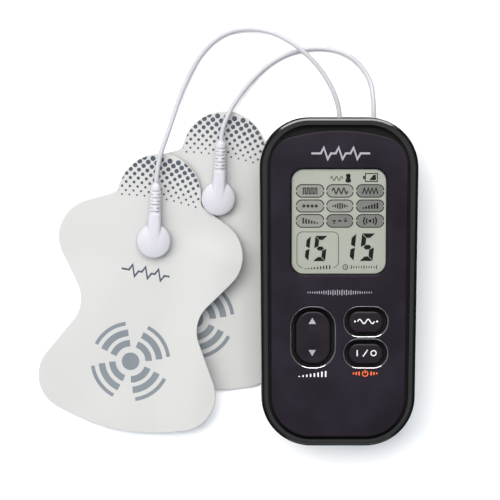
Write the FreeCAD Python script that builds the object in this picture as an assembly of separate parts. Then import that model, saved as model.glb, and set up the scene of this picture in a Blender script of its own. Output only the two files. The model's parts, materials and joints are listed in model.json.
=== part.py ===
import FreeCAD, Part
import cmath
import math
import os

# A pocket TENS unit with its two electrode pads, lying on a table, in millimetres.
# +X is the unit's right, +Y its top end, +Z out of its face. The origin is the middle of
# the flat back that it rests on, so the table's top is z = 0.

# ---------------------------------------------------------------- driving sizes
# the case
CASE_TOP_W = 53.8
CASE_BOTTOM_W = 52.4
CASE_H = 112.0
CASE_D = 25.0
CASE_R = 17.0
WALL = 1.8
SPLIT_Z = 13.0
BELLY_Z = 2.2
BELLY_INSET = 7.2
TUMBLE = ((3.2, 5.2, 3.0), (5.6, 3.4, 2.2))
BOTTOM_END_REACH = 4.0
RIM_FILLET = 1.3
RIM_W = 2.35
RIM_DROP = 0.7
DECK_T = 1.6
LIP_T = 1.0
LIP_H = 1.2
SLIP = 0.1
# the raised back that carries the battery bay
SPINE_HALF = 8.3
SPINE_END_GAP = 14.7
FOOT_MARGIN = 8.7
FOOT_END_GAP = 4.0
FOOT_R = 6.0
FLARE_Y = 8.0
FLARE_R = 8.0
# face panel
PANEL_T = 1.8
PANEL_INSET = 3.45
PANEL_TOP_GAP = 4.3
PANEL_TOP_MARGIN = 3.6
PANEL_CROWN_R = 60.0
PANEL_TOP_R = 9.5
# display
WINDOW_W = 32.7
WINDOW_H = 36.2
WINDOW_R = 4.3
WINDOW_Y = 20.9
WINDOW_T = 1.2
WINDOW_SUNK = 0.25
GASKET_T = 0.35
GASKET_W = 0.35
LCD_T = 2.8
TRAY_WALL = 1.2
TRAY_FLOOR = 1.8
TRAY_H = 3.1
ZEBRA_W = 2.0
# keys: (x, y, width, height, corner radius)
ROCKER = (-8.66, -18.46, 11.8, 17.6, 5.2)
MODE = (9.29, -13.08, 11.7, 7.0, 3.3)
POWER = (9.29, -23.96, 11.7, 6.6, 3.2)
WELL_MARGIN = 1.5
KEY_GAP = 0.15
ROCKER_GAP = 0.35
KEY_PROUD = 0.2
KEY_TRAVEL = 0.45
KEY_FLANGE_W = 0.7
KEY_FLANGE_T = 0.7
KEY_EDGE = 0.5
TRUNNION_R = 0.8
CLOSE_GAP = 0.05
LUG_W = 1.2
LUG_R = 1.9
ROCKER_ARM = 6.2
TOUCH_GAP = 0.05
SWITCH_W = 6.0
SWITCH_H = 3.5
PLUNGER_R = 1.75
PLUNGER_GAP = 0.35
PLUNGER_UP = 1.3
# circuit board
BOARD_T = 1.2
BOARD_OVER_ROOF = 1.5
BOARD_INSET = 3.4
CHIP_Y = 18.0
CHIP_W = 10.0
CHIP_T = 1.3
CHIP_LIFT = 0.1
LEG_COUNT = 8
LEG_PITCH = 1.2
LEG_W = 0.5
LEG_L = 1.0
CORE_XY = (-9.0, 24.0)
CORE_W = 12.0
CORE_T = 8.0
BOBBIN_W = 8.0
BOBBIN_L = 14.8
BOBBIN_LOW = 6.8
BOBBIN_HIGH = 1.4
CHOKE_XY = (4.0, 12.0)
CHOKE_R = 4.0
CHOKE_HOLE_R = 1.6
CHOKE_T = 5.0
CAP_XY = ((-10.0, 8.0), (-3.0, 8.0))
CAP_R = 2.5
CAP_L = 8.0
CRYSTAL = (-12.0, 20.0, 3.2, 8.0, 1.5)
CRYSTAL_T = 2.0
SMD_W = 2.0
SMD_L = 1.2
SMD_T = 0.8
SMD_ROWS = ((10.0, 9.0, 0.0, 3.0, 6), (-8.0, 9.0, 0.0, 2.6, 3), (-2.0, -32.0, 3.0, 0.0, 5))
# screws
CASE_SCREW_MARGIN = 6.7
CASE_SCREW_END_GAP = 16.0
CASE_SCREW_R = 1.0
SCREW_SLIP = 0.1
CASE_HEAD_R = 2.0
CASE_HEAD_T = 1.4
CASE_SEAT_Z = 9.0
CASE_SCREW_END_Z = 19.0
BOSS_R = 2.8
BOARD_POST_MARGIN = 5.4
BOARD_POST_Y = (24.0, -12.0)
BOARD_POST_R = 1.75
BOARD_SCREW_R = 0.75
BOARD_HEAD_R = 1.5
BOARD_HEAD_T = 1.0
BOARD_SCREW_REACH = 4.0
BOSS_HOLE_SLIP = 0.3
# battery bay, for two cells side by side
CELL_R = 5.25
CELL_BODY = 43.7
CELL_NUB_R = 1.9
CELL_NUB = 0.8
CELL_SPACE = 0.5
CELL_OVER_COVER = 0.6
CELL_UNDER_ROOF = 0.3
BAY_TOP_END_Y = -2.2
CELL_GAP = 0.45
PLATE_T = 0.4
PLATE_W = 8.0
PLATE_H = 8.0
TAB_W = 2.0
SPRING_GAP = 2.7
SPRING_WIRE_R = 0.3
SPRING_R = 2.9
SPRING_TURNS = 3.0
BAY_WALL = 1.2
BAY_ROOF_T = 1.0
# battery cover
COVER_T = 1.4
COVER_OVER_BAY = 1.4
COVER_TOP_END_Y = -1.8
COVER_SLIP = 0.15
RAIL_W = 1.0
RAIL_LOW = 0.75
RAIL_HIGH = 1.3
RAIL_SLIP = 0.1
GRIP_GROOVES = 5
GRIP_PITCH = 1.6
GRIP_W = 12.0
GRIP_DEPTH = 0.4
# output jack and plug
JACK_X = 6.8
JACK_W = 14.0
JACK_END_GAP = 9.4
JACK_L = 13.0
JACK_LOW_Z = 4.4
PIN_Z = 7.0
PIN_X = 3.5
PIN_R = 0.75
PIN_L = 8.5
CONTACT_GAP = 0.05
CONTACT_T = 0.35
CONTACT_L = 7.5
PLUG_W = 16.0
PLUG_T = 5.0
PLUG_FRONT_GAP = 9.1
PLUG_END_GAP = 3.4
PLUG_R = 1.6
PLUG_SLIP = 0.25
EXIT_X = 5.95
EXIT_END_GAP = 0.3
EXIT_RUN = 4.6
EXIT_R = (1.9, 1.3)
# electrode pads, in their own frame: the snap stud is at 0, 0 and the tab points to +Y
PAD_T = 1.5
PAD_SHEET_T = 0.5
PAD_FILM_T = 0.2
PAD_FILM_INSET = 2.0
PAD_GEL_INSET = 1.2
PAD_AXIS_X = -0.9
PAD_TAB_Y = 15.9
PAD_TAB_R = 14.6
PAD_NECK_R = 3.0
PAD_NECK_RISE = 0.8
PAD_UPPER = (19.4, -2.2, 13.2)
PAD_WAIST = (32.9, -26.6, 12.0)
PAD_LOWER_X = 18.8
PAD_LOWER_R = 12.8
PAD_END_Y = -68.1
PAD_END_R = 66.0
PAD_TURN = -10.0
STUD_A = (-63.55, 12.8)
STUD_B = (-41.05, 27.5)
PAD_STACK_GAP = 0.4
PAD_B_Z = 0.0
# snap studs and connectors, on their own axis
STUD_FLANGE_R = 3.0
STUD_FLANGE_T = 0.25
STUD_NECK_R = 1.5
STUD_NECK_TOP = 1.75
STUD_HEAD_R = 1.95
STUD_TOP = 2.9
STUD_BASE_R = 4.0
STUD_BASE_T = 0.35
STUD_HOLE_R = 1.2
SNAP_LIFT = 0.3
SNAP_R = 5.75
SNAP_H = 4.5
SNAP_EDGE = 1.0
BASE_R = 5.1
BASE_T = 0.8
BASE_HOLE_R = 2.4
SOCKET_R = 3.2
SOCKET_BORE_R = 2.15
SOCKET_LOW = 0.9
SOCKET_HIGH = 3.3
SOCKET_ROOF_T = 0.3
RING_R = 1.94
RING_WIRE_R = 0.17
RING_Z = 1.15
STEM_W = 4.7
STEM_H = 3.9
STEM_LOW = 0.5
STEM_END = 9.6
BOOT_L = 10.8
BOOT_R = (1.95, 1.35)
BOOT_GROOVES = 7
BOOT_GROOVE_W = 0.6
BOOT_GROOVE_DEPTH = 0.45
SNAP_TURN = -2.7
# leads
LEAD_D = 1.65
TABLE_GAP = 0.02
CORNER_SHARE = 0.45
LIE_Z = LEAD_D / 2 + TABLE_GAP
LEAD_A_RUN = 7.0
LEAD_B_RUN = 6.0
# points of each lead: x and y from the jack's end of the case, or from the pad's stud, and height
LEAD_A_BY_UNIT = ((-11.4, 15.9, 5.9), (-20.3, 24.8, 5.9), (-30.8, 30.5, 3.2))
LEAD_A_BY_PAD = ((26.95, 73.6, LIE_Z), (17.15, 66.8, LIE_Z), (9.95, 53.2, 1.2), (5.75, 39.8, 4.0))
LEAD_B_BY_UNIT = ((5.0, 13.9, 2.6), (-2.6, 22.5, LIE_Z), (-15.3, 24.6, LIE_Z))
LEAD_B_BY_PAD = ((20.25, 49.1, LIE_Z), (10.05, 40.1, 1.6))

V = FreeCAD.Vector
Z = V(0, 0, 1)
MINUS_Y = V(0, -1, 0)
PLUS_Y = V(0, 1, 0)
CUT = 1.0
TOUCHING = 1e-6
NEAR = 1e-5


# ---------------------------------------------------------------- shapes
def point(c, z=0.0):
    return V(c.real, c.imag, z)


def belt(rounds, grow=0.0, z=0.0):
    """Closed outline round circles (x, y, radius, side), counter-clockwise.

    Side 1 bulges out and side -1 dents in, and grow moves the whole outline outwards.
    """
    places = [complex(x, y) for x, y, r, side in rounds]
    radii = [side * r + grow for x, y, r, side in rounds]
    count = len(rounds)
    heads, leave, arrive = [], [], [None] * count
    for i in range(count):
        j = (i + 1) % count
        apart = places[j] - places[i]
        step = radii[j] - radii[i]
        spare = abs(apart) ** 2 - step ** 2
        run = math.sqrt(spare) if spare > TOUCHING else 0.0
        head = apart / complex(run, step)
        heads.append(head)
        leave.append(places[i] - 1j * head * radii[i])
        arrive[j] = places[j] - 1j * head * radii[j]
    edges = []
    for i in range(count):
        turn = cmath.phase((leave[i] - places[i]) / (arrive[i] - places[i]))
        side = 1 if radii[i] > 0 else -1
        if side * turn < -TOUCHING:
            turn += side * 2 * math.pi
        middle = places[i] + (arrive[i] - places[i]) * cmath.exp(0.5j * turn)
        if abs(arrive[i] - leave[i]) > NEAR:
            edges.append(Part.Arc(point(arrive[i], z), point(middle, z), point(leave[i], z)).toShape())
        after = arrive[(i + 1) % count]
        if abs(after - leave[i]) > NEAR:
            edges.append(Part.LineSegment(point(leave[i], z), point(after, z)).toShape())
    return Part.Wire(edges)


def prism(rounds, low, high, grow=0.0):
    return Part.Face(belt(rounds, grow, low)).extrude(V(0, 0, high - low))


def mirrored(right):
    """Circles up the right side, then the same ones down the left side."""
    left = [(-x, y, r, side) for x, y, r, side in reversed(right) if abs(x) > NEAR]
    return right + left


def rounded(x, y, w, h, r):
    """Circles of a rounded rectangle about x, y."""
    dx, dy = w / 2 - r, h / 2 - r
    return [(x + dx, y - dy, r, 1), (x + dx, y + dy, r, 1), (x - dx, y + dy, r, 1), (x - dx, y - dy, r, 1)]


def box(x0, x1, y0, y1, z0, z1):
    return Part.makeBox(x1 - x0, y1 - y0, z1 - z0, V(x0, y0, z0))


def post(x, y, r, z0, z1):
    return Part.makeCylinder(r, z1 - z0, V(x, y, z0), Z)


def tube(x, y, outer, inner, z0, z1):
    return post(x, y, outer, z0, z1).cut(post(x, y, inner, z0 - CUT, z1 + CUT))


def cut_all(shape, tools):
    for tool in tools:
        shape = shape.cut(tool)
    return shape


def join(shapes):
    whole = shapes[0]
    for shape in shapes[1:]:
        whole = whole.fuse(shape)
    return whole.removeSplitter()


def group(shapes):
    return Part.makeCompound(shapes)


def top_edges(shape, z):
    """The outer edges of the shape that lie at height z."""
    near = 10 * NEAR
    return [e for e in shape.Edges if abs(e.BoundBox.ZMin - z) < near and abs(e.BoundBox.ZMax - z) < near]


# ---------------------------------------------------------------- levels and outlines
SPINE_END_Y = CASE_H / 2 - SPINE_END_GAP
FOOT_HALF = CASE_BOTTOM_W / 2 - FOOT_MARGIN
FOOT_END_Y = FOOT_END_GAP - CASE_H / 2
PANEL_TOP_Y = CASE_H / 2 - PANEL_TOP_GAP
PANEL_TOP_HALF = CASE_TOP_W / 2 - PANEL_TOP_MARGIN
CASE_SCREW_XY = (CASE_BOTTOM_W / 2 - CASE_SCREW_MARGIN, CASE_H / 2 - CASE_SCREW_END_GAP)
BOARD_POST_X = CASE_BOTTOM_W / 2 - BOARD_POST_MARGIN
CELL_Z = COVER_T + CELL_OVER_COVER + CELL_R
CELL_PITCH = 2 * CELL_R + CELL_SPACE
BAY_ROOF_Z = CELL_Z + CELL_R + CELL_UNDER_ROOF
BOARD_Z = BAY_ROOF_Z + BOARD_OVER_ROOF
COVER_HALF = CELL_PITCH / 2 + CELL_R + CELL_GAP + COVER_OVER_BAY
JACK_FRONT_Y = CASE_H / 2 - JACK_END_GAP
PLUG_FRONT_Y = CASE_H / 2 - PLUG_FRONT_GAP
PLUG_END_Y = CASE_H / 2 - PLUG_END_GAP
EXIT_END_Y = CASE_H / 2 - EXIT_END_GAP
PAD_A_Z = PAD_B_Z + PAD_T + PAD_STACK_GAP
RIM_Z = CASE_D - RIM_DROP
PANEL_LOW = CASE_D - PANEL_T
DECK_LOW = PANEL_LOW - DECK_T
BOARD_TOP = BOARD_Z + BOARD_T
WINDOW_LOW = PANEL_LOW + GASKET_T
LCD_TOP = WINDOW_LOW - TOUCH_GAP
TRAY_TOP = DECK_LOW - TOUCH_GAP
TRAY_LOW = TRAY_TOP - TRAY_H
LCD_LOW = LCD_TOP - LCD_T
LCD_W = WINDOW_W - 2 * GASKET_W - 2 * SLIP
LCD_H = WINDOW_H - 2 * GASKET_W - 2 * SLIP
SWITCH_TOP = BOARD_TOP + SWITCH_H
PLUNGER_TOP = SWITCH_TOP + PLUNGER_UP
PLUNGER_LOW = SWITCH_TOP - PLUNGER_UP
KEY_LOW = PLUNGER_TOP + TOUCH_GAP
TRUNNION_Z = DECK_LOW - TRUNNION_R - SLIP
SNAP_MID = STEM_LOW + STEM_H / 2


def case_circles(reach=0.0):
    end = CASE_H / 2 - CASE_R
    low = (CASE_BOTTOM_W / 2 - CASE_R, -end - reach, CASE_R, 1)
    high = (CASE_TOP_W / 2 - CASE_R, end, CASE_R, 1)
    return mirrored([low, high])


def panel_circles():
    end = CASE_H / 2 - CASE_R
    low = (CASE_BOTTOM_W / 2 - CASE_R, -end, CASE_R - PANEL_INSET, 1)
    crown_y = PANEL_TOP_Y - PANEL_CROWN_R
    x = PANEL_TOP_HALF - PANEL_TOP_R
    y = crown_y + math.sqrt((PANEL_CROWN_R - PANEL_TOP_R) ** 2 - x ** 2)
    return mirrored([low, (x, y, PANEL_TOP_R, 1), (0.0, crown_y, PANEL_CROWN_R, 1)])


def spine_circles():
    """The raised back: broad round the batteries, narrow behind the display."""
    low = (FOOT_HALF - FOOT_R, FOOT_END_Y + FOOT_R, FOOT_R, 1)
    shoulder = (FOOT_HALF - FOOT_R, FLARE_Y - FLARE_R - FOOT_R, FOOT_R, 1)
    flare = (SPINE_HALF + FLARE_R, FLARE_Y, FLARE_R, -1)
    return mirrored([low, shoulder, flare, (0.0, SPINE_END_Y - SPINE_HALF, SPINE_HALF, 1)])


def window_circles(margin=0.0):
    return rounded(0, WINDOW_Y, WINDOW_W + 2 * margin, WINDOW_H + 2 * margin, WINDOW_R + margin)


def lcd_circles(margin=0.0):
    return rounded(0, WINDOW_Y, LCD_W + 2 * margin, LCD_H + 2 * margin, WINDOW_R - GASKET_W + margin)


def key_circles(key, margin=0.0):
    x, y, w, h, r = key
    return rounded(x, y, w + 2 * margin, h + 2 * margin, r + margin)


def hull(wall):
    """The back shell's bowl, or its hollow a wall inside: upright at the split line and drawn in below."""
    layers = [(SPLIT_Z, 0.0, 0.0)]
    layers += [(BELLY_Z + up, draw, reach) for up, draw, reach in reversed(TUMBLE)]
    layers += [(BELLY_Z, BELLY_INSET, BOTTOM_END_REACH)]
    wires = [belt(case_circles(reach), -draw - wall, z + wall * (SPLIT_Z > z)) for z, draw, reach in layers]
    return Part.makeLoft(wires, True, True)


def screw_places():
    x, y = CASE_SCREW_XY
    return [(sx * x, sy * y) for sx in (-1, 1) for sy in (-1, 1)]


def board_places():
    return [(side * BOARD_POST_X, y) for side in (-1, 1) for y in BOARD_POST_Y]


# ---------------------------------------------------------------- case
def front_shell():
    shell = prism(case_circles(), SPLIT_Z, RIM_Z)
    shell = shell.makeFillet(RIM_FILLET, top_edges(shell, RIM_Z))
    shell = shell.cut(prism(case_circles(), PANEL_LOW, RIM_Z + CUT, -RIM_W))
    shell = shell.cut(prism(case_circles(), SPLIT_Z - CUT, DECK_LOW, -WALL))
    added = [post(x, y, BOSS_R, SPLIT_Z, DECK_LOW + CUT / 2) for x, y in screw_places()]
    added += [post(x, y, BOARD_POST_R, BOARD_TOP, DECK_LOW + CUT / 2) for x, y in board_places()]
    added += [rocker_lug(side) for side in (-1, 1)]
    shell = join([shell] + added)
    holes = [post(x, y, CASE_SCREW_R + CLOSE_GAP, SPLIT_Z - CUT, CASE_SCREW_END_Z) for x, y in screw_places()]
    end = BOARD_TOP + BOARD_SCREW_REACH + SLIP
    holes += [post(x, y, BOARD_SCREW_R + CLOSE_GAP, BOARD_TOP - CUT, end) for x, y in board_places()]
    holes += [prism(lcd_circles(SLIP), DECK_LOW - CUT, PANEL_LOW + CUT)]
    holes += [prism(key_circles(ROCKER, ROCKER_GAP), DECK_LOW - CUT, PANEL_LOW + CUT)]
    holes += [prism(key_circles(key, KEY_GAP), DECK_LOW - CUT, PANEL_LOW + CUT) for key in (MODE, POWER)]
    return cut_all(shell, holes)


def lug_span():
    """The inner and outer x of a rocker lug, from the rocker's middle."""
    inner = ROCKER[2] / 2 + ROCKER_GAP
    return inner, inner + LUG_W


def rocker_lug(side):
    inner, outer = lug_span()
    x = ROCKER[0] + side * (inner + outer) / 2
    y = ROCKER[1]
    body = box(x - LUG_W / 2, x + LUG_W / 2, y - LUG_R, y + LUG_R, TRUNNION_Z, DECK_LOW + CUT / 2)
    start = V(x - LUG_W / 2, y, TRUNNION_Z)
    body = body.fuse(Part.makeCylinder(LUG_R, LUG_W, start, V(1, 0, 0)))
    return body.cut(Part.makeCylinder(TRUNNION_R + CLOSE_GAP, LUG_W, start, V(1, 0, 0)))


def bay_span():
    """The battery bay's half width, low y and high y."""
    half = CELL_PITCH / 2 + CELL_R + CELL_GAP
    length = CELL_BODY + 2 * CELL_NUB + 2 * PLATE_T + SPRING_GAP
    return half, BAY_TOP_END_Y - length, BAY_TOP_END_Y


def back_shell():
    half, low_y, high_y = bay_span()
    shell = hull(0.0).fuse(prism(spine_circles(), 0.0, BELLY_Z + CUT / 2)).removeSplitter()
    hollow = hull(WALL)
    outer = half + BAY_WALL
    keep = box(-outer, outer, low_y - CASE_H, high_y + BAY_WALL, 0, BAY_ROOF_Z + BAY_WALL)
    bosses = [post(x, y, BOSS_R, BELLY_Z, SPLIT_Z) for x, y in screw_places()]
    for solid in [keep] + bosses:
        hollow = hollow.cut(solid)
    hollow = hollow.fuse(prism(case_circles(), SPLIT_Z - CUT / 2, SPLIT_Z, -WALL))
    for solid in [keep] + bosses:
        hollow = hollow.cut(solid)
    lip = prism(case_circles(), SPLIT_Z - CUT, SPLIT_Z + LIP_H, -WALL - SLIP)
    lip = lip.cut(prism(case_circles(), SPLIT_Z - 2 * CUT, SPLIT_Z + 2 * LIP_H, -WALL - SLIP - LIP_T))
    roof = box(-outer, outer, low_y - BAY_WALL, high_y + BAY_WALL, SPLIT_Z - CUT, BAY_ROOF_Z + BAY_ROOF_T)
    shell = join([shell.cut(hollow), lip, roof])
    tools = [box(-half, half, low_y, high_y, COVER_T + RAIL_SLIP, BAY_ROOF_Z)]
    tools += cover_track()
    tools += plate_slots()
    for x, y in screw_places():
        tools.append(post(x, y, CASE_SCREW_R + SCREW_SLIP, 0, SPLIT_Z + CUT + LIP_H))
        tools.append(post(x, y, CASE_HEAD_R + SCREW_SLIP, 0, CASE_SEAT_Z))
        tools.append(post(x, y, BOSS_R + SLIP, SPLIT_Z, SPLIT_Z + 2 * LIP_H))
    tools.append(plug_port())
    return cut_all(shell, tools)


def cover_track():
    end = FOOT_END_Y - CUT
    wide = COVER_HALF + COVER_SLIP
    top = COVER_TOP_END_Y + COVER_SLIP
    slot = box(-wide, wide, end, top, -CUT, COVER_T + RAIL_SLIP)
    rails = box(
        -wide - RAIL_W, wide + RAIL_W, end, top, RAIL_LOW - RAIL_SLIP, RAIL_HIGH + RAIL_SLIP
    )
    return [slot, rails]


def plug_port():
    half, thick = PLUG_W / 2 + PLUG_SLIP, PLUG_T / 2 + PLUG_SLIP
    y0, y1 = PLUG_FRONT_Y - PLUG_SLIP - CUT, CASE_H / 2 + CUT
    return box(JACK_X - half, JACK_X + half, y0, y1, PIN_Z - thick, PIN_Z + thick)


def face_panel():
    panel = prism(panel_circles(), PANEL_LOW, CASE_D)
    panel = panel.cut(prism(window_circles(SLIP), PANEL_LOW - CUT, CASE_D + CUT))
    for key in (ROCKER, MODE, POWER):
        panel = panel.cut(prism(key_circles(key, WELL_MARGIN), PANEL_LOW - CUT, CASE_D + CUT))
    return panel


def case_screws():
    screws = []
    for x, y in screw_places():
        head = post(x, y, CASE_HEAD_R, CASE_SEAT_Z - CASE_HEAD_T, CASE_SEAT_Z)
        screws.append(head.fuse(post(x, y, CASE_SCREW_R, CASE_SEAT_Z, CASE_SCREW_END_Z - SLIP)))
    return group(screws)


def board_screws():
    screws = []
    for x, y in board_places():
        head = post(x, y, BOARD_HEAD_R, BOARD_Z - BOARD_HEAD_T, BOARD_Z)
        screws.append(head.fuse(post(x, y, BOARD_SCREW_R, BOARD_Z, BOARD_TOP + BOARD_SCREW_REACH)))
    return group(screws)


# ---------------------------------------------------------------- display
def display_window():
    return prism(window_circles(), WINDOW_LOW, CASE_D - WINDOW_SUNK)


def display_gasket():
    ring = prism(window_circles(), PANEL_LOW, WINDOW_LOW)
    return ring.cut(prism(lcd_circles(SLIP), PANEL_LOW - CUT, WINDOW_LOW + CUT))


def lcd_glass():
    return prism(lcd_circles(), LCD_LOW, LCD_TOP)


def lcd_frame():
    tray = prism(lcd_circles(TRAY_WALL), TRAY_LOW, TRAY_TOP)
    tray = tray.cut(prism(lcd_circles(SLIP), LCD_LOW, TRAY_TOP + CUT))
    return cut_all(tray, [zebra_box(side, SLIP, TRAY_LOW - CUT, LCD_LOW + CUT) for side in (-1, 1)])


def zebra_box(side, margin, low, high):
    y = WINDOW_Y + side * (LCD_H / 2 - ZEBRA_W)
    half_x, half_y = LCD_W / 2 - WINDOW_R + margin, ZEBRA_W / 2 + margin
    return box(-half_x, half_x, y - half_y, y + half_y, low, high)


def lcd_zebra_strips():
    return group([zebra_box(side, 0.0, BOARD_TOP, LCD_LOW) for side in (-1, 1)])


# ---------------------------------------------------------------- circuit board
def main_circuit_board():
    board = prism(case_circles(), BOARD_Z, BOARD_TOP, -BOARD_INSET)
    holes = [post(x, y, BOSS_R + BOSS_HOLE_SLIP, BOARD_Z - CUT, BOARD_TOP + CUT) for x, y in screw_places()]
    r = BOARD_SCREW_R + SCREW_SLIP
    holes += [post(x, y, r, BOARD_Z - CUT, BOARD_TOP + CUT) for x, y in board_places()]
    return cut_all(board, holes)


def on_board(x, y, w, length, low, high):
    """A box about x, y that stands on the board's front face."""
    return box(x - w / 2, x + w / 2, y - length / 2, y + length / 2, BOARD_TOP + low, BOARD_TOP + high)


def microcontroller():
    parts = [on_board(0, CHIP_Y, CHIP_W, CHIP_W, CHIP_LIFT, CHIP_LIFT + CHIP_T)]
    first = CHIP_Y - LEG_PITCH * (LEG_COUNT - 1) / 2
    for side in (-1, 1):
        x = side * (CHIP_W + LEG_L) / 2
        parts += [on_board(x, first + LEG_PITCH * i, LEG_L, LEG_W, 0, LEG_W) for i in range(LEG_COUNT)]
    return join(parts)


def output_transformer():
    x, y = CORE_XY
    core = box(x - CORE_W / 2, x + CORE_W / 2, y - CORE_W / 2, y + CORE_W / 2, BOARD_Z - CORE_T, BOARD_Z)
    low, high = BOARD_Z - BOBBIN_LOW, BOARD_Z - BOBBIN_HIGH
    bobbin = box(x - BOBBIN_W / 2, x + BOBBIN_W / 2, y - BOBBIN_L / 2, y + BOBBIN_L / 2, low, high)
    return join([core, bobbin])


def boost_inductor():
    x, y = CHOKE_XY
    ring = tube(x, y, CHOKE_R, CHOKE_HOLE_R, BOARD_Z - CHOKE_T, BOARD_Z)
    return join([ring, post(x, y, CHOKE_HOLE_R + SLIP, BOARD_Z - CHOKE_T, BOARD_Z)])


def storage_capacitors():
    return group([post(x, y, CAP_R, BOARD_Z - CAP_L, BOARD_Z) for x, y in CAP_XY])


def quartz_crystal():
    return prism(rounded(*CRYSTAL), BOARD_TOP, BOARD_TOP + CRYSTAL_T)


def smd_parts():
    places = [(x + dx * i, y + dy * i) for x, y, dx, dy, count in SMD_ROWS for i in range(count)]
    return group([on_board(x, y, SMD_W, SMD_L, 0, SMD_T) for x, y in places])


def switch_places():
    """Each switch's x and y: two under the rocker, one under each other key."""
    rocker = [(ROCKER[0], ROCKER[1] + side * ROCKER_ARM) for side in (-1, 1)]
    return rocker + [(key[0], key[1]) for key in (MODE, POWER)]


def switch_bodies():
    bodies = []
    for x, y in switch_places():
        well = post(x, y, PLUNGER_R + PLUNGER_GAP, PLUNGER_LOW - KEY_TRAVEL - SLIP, SWITCH_TOP + CUT)
        bodies.append(on_board(x, y, SWITCH_W, SWITCH_W, 0, SWITCH_H).cut(well))
    return group(bodies)


def plungers(places):
    return group([post(x, y, PLUNGER_R, PLUNGER_LOW, PLUNGER_TOP) for x, y in places])


# ---------------------------------------------------------------- keys
def press_key(key):
    top = CASE_D + KEY_PROUD
    cap = prism(key_circles(key), DECK_LOW - SLIP - KEY_FLANGE_T, top)
    cap = cap.makeFillet(KEY_EDGE, top_edges(cap, top))
    flange = prism(key_circles(key, KEY_FLANGE_W), DECK_LOW - SLIP - KEY_FLANGE_T, DECK_LOW - SLIP)
    stalk = post(key[0], key[1], PLUNGER_R, KEY_LOW, DECK_LOW - SLIP)
    return join([cap, flange, stalk])


def intensity_key():
    top = CASE_D + KEY_PROUD
    x, y = ROCKER[:2]
    cap = prism(key_circles(ROCKER), TRUNNION_Z, top)
    cap = cap.makeFillet(KEY_EDGE, top_edges(cap, top))
    legs = [post(x, y + side * ROCKER_ARM, PLUNGER_R, KEY_LOW, TRUNNION_Z + CUT) for side in (-1, 1)]
    reach = lug_span()[1] - SLIP
    axle = Part.makeCylinder(TRUNNION_R, 2 * reach, V(x - reach, y, TRUNNION_Z), V(1, 0, 0))
    return join([cap, axle] + legs)


# ---------------------------------------------------------------- batteries
def cell_x(side):
    return side * CELL_PITCH / 2


def along(side, gap):
    """The y at a distance from the spring end of a cell; the right cell lies the other way."""
    half, low_y, high_y = bay_span()
    return low_y + gap if side < 0 else high_y - gap


def lying(side, r, start, length):
    axis = PLUS_Y if side < 0 else MINUS_Y
    return Part.makeCylinder(r, length, V(cell_x(side), along(side, start), CELL_Z), axis)


def battery_cell(side):
    start = PLATE_T + SPRING_GAP + CELL_NUB
    return join([lying(side, CELL_R, start, CELL_BODY), lying(side, CELL_NUB_R, start + CELL_BODY, CELL_NUB)])


def plate_box(side, end, margin, low, high, width):
    """A contact plate's box, or its slot in the roof; end 0 is the spring end."""
    half, low_y, high_y = bay_span()
    length = high_y - low_y
    start = 0.0 if end == 0 else length - PLATE_T
    ys = sorted([along(side, start - margin), along(side, start + PLATE_T + margin)])
    return box(cell_x(side) - width / 2 - margin, cell_x(side) + width / 2 + margin, ys[0], ys[1], low, high)


def battery_contact_plates():
    plates = []
    for side in (-1, 1):
        for end in (0, 1):
            plate = plate_box(side, end, 0.0, CELL_Z - PLATE_H / 2, CELL_Z + PLATE_H / 2, PLATE_W)
            plates.append(plate.fuse(plate_box(side, end, 0.0, CELL_Z, BOARD_Z, TAB_W)).removeSplitter())
    return group(plates)


def plate_slots():
    low, high = BAY_ROOF_Z - CUT, BAY_ROOF_Z + 2 * BAY_WALL
    return [plate_box(side, end, SLIP, low, high, TAB_W) for side in (-1, 1) for end in (0, 1)]


def battery_springs():
    springs = []
    length = SPRING_GAP + CELL_NUB - 2 * SPRING_WIRE_R - 2 * TOUCH_GAP
    for side in (-1, 1):
        coil = Part.makeHelix(length / SPRING_TURNS, length, SPRING_R)
        ring = Part.Wire(Part.makeCircle(SPRING_WIRE_R, V(SPRING_R, 0, 0), V(0, 1, 0)))
        wire = Part.Wire(coil.Edges).makePipeShell([ring], True, True)
        wire.rotate(V(0, 0, 0), V(1, 0, 0), side * 90)
        y = along(side, PLATE_T + SPRING_WIRE_R + TOUCH_GAP)
        wire.translate(V(cell_x(side), y, CELL_Z))
        springs.append(wire)
    return group(springs)


def battery_cover():
    plate = box(-COVER_HALF, COVER_HALF, FOOT_END_Y, COVER_TOP_END_Y, 0.0, COVER_T)
    wide = COVER_HALF + RAIL_W
    rail = box(-wide, wide, FOOT_END_Y + FOOT_R, COVER_TOP_END_Y, RAIL_LOW, RAIL_HIGH)
    cover = join([plate, rail])
    first = COVER_TOP_END_Y - 2 * GRIP_PITCH - GRIP_GROOVES * GRIP_PITCH
    for i in range(GRIP_GROOVES):
        y = first + i * GRIP_PITCH
        cover = cover.cut(box(-GRIP_W / 2, GRIP_W / 2, y, y + GRIP_PITCH / 2, -CUT, GRIP_DEPTH))
    return cover


# ---------------------------------------------------------------- jack and plug
def pin_places():
    return [JACK_X + side * PIN_X for side in (-1, 1)]


def pin_bore(x, r, start, length):
    return Part.makeCylinder(r, length, V(x, start, PIN_Z), MINUS_Y)


def jack_housing():
    y0 = JACK_FRONT_Y - JACK_L
    body = box(JACK_X - JACK_W / 2, JACK_X + JACK_W / 2, y0, JACK_FRONT_Y, JACK_LOW_Z, BOARD_Z)
    sleeve = PIN_R + CONTACT_GAP + CONTACT_T + TOUCH_GAP
    for x in pin_places():
        body = body.cut(pin_bore(x, sleeve, JACK_FRONT_Y + CUT, PIN_L + 2 * CUT))
    return body


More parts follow.
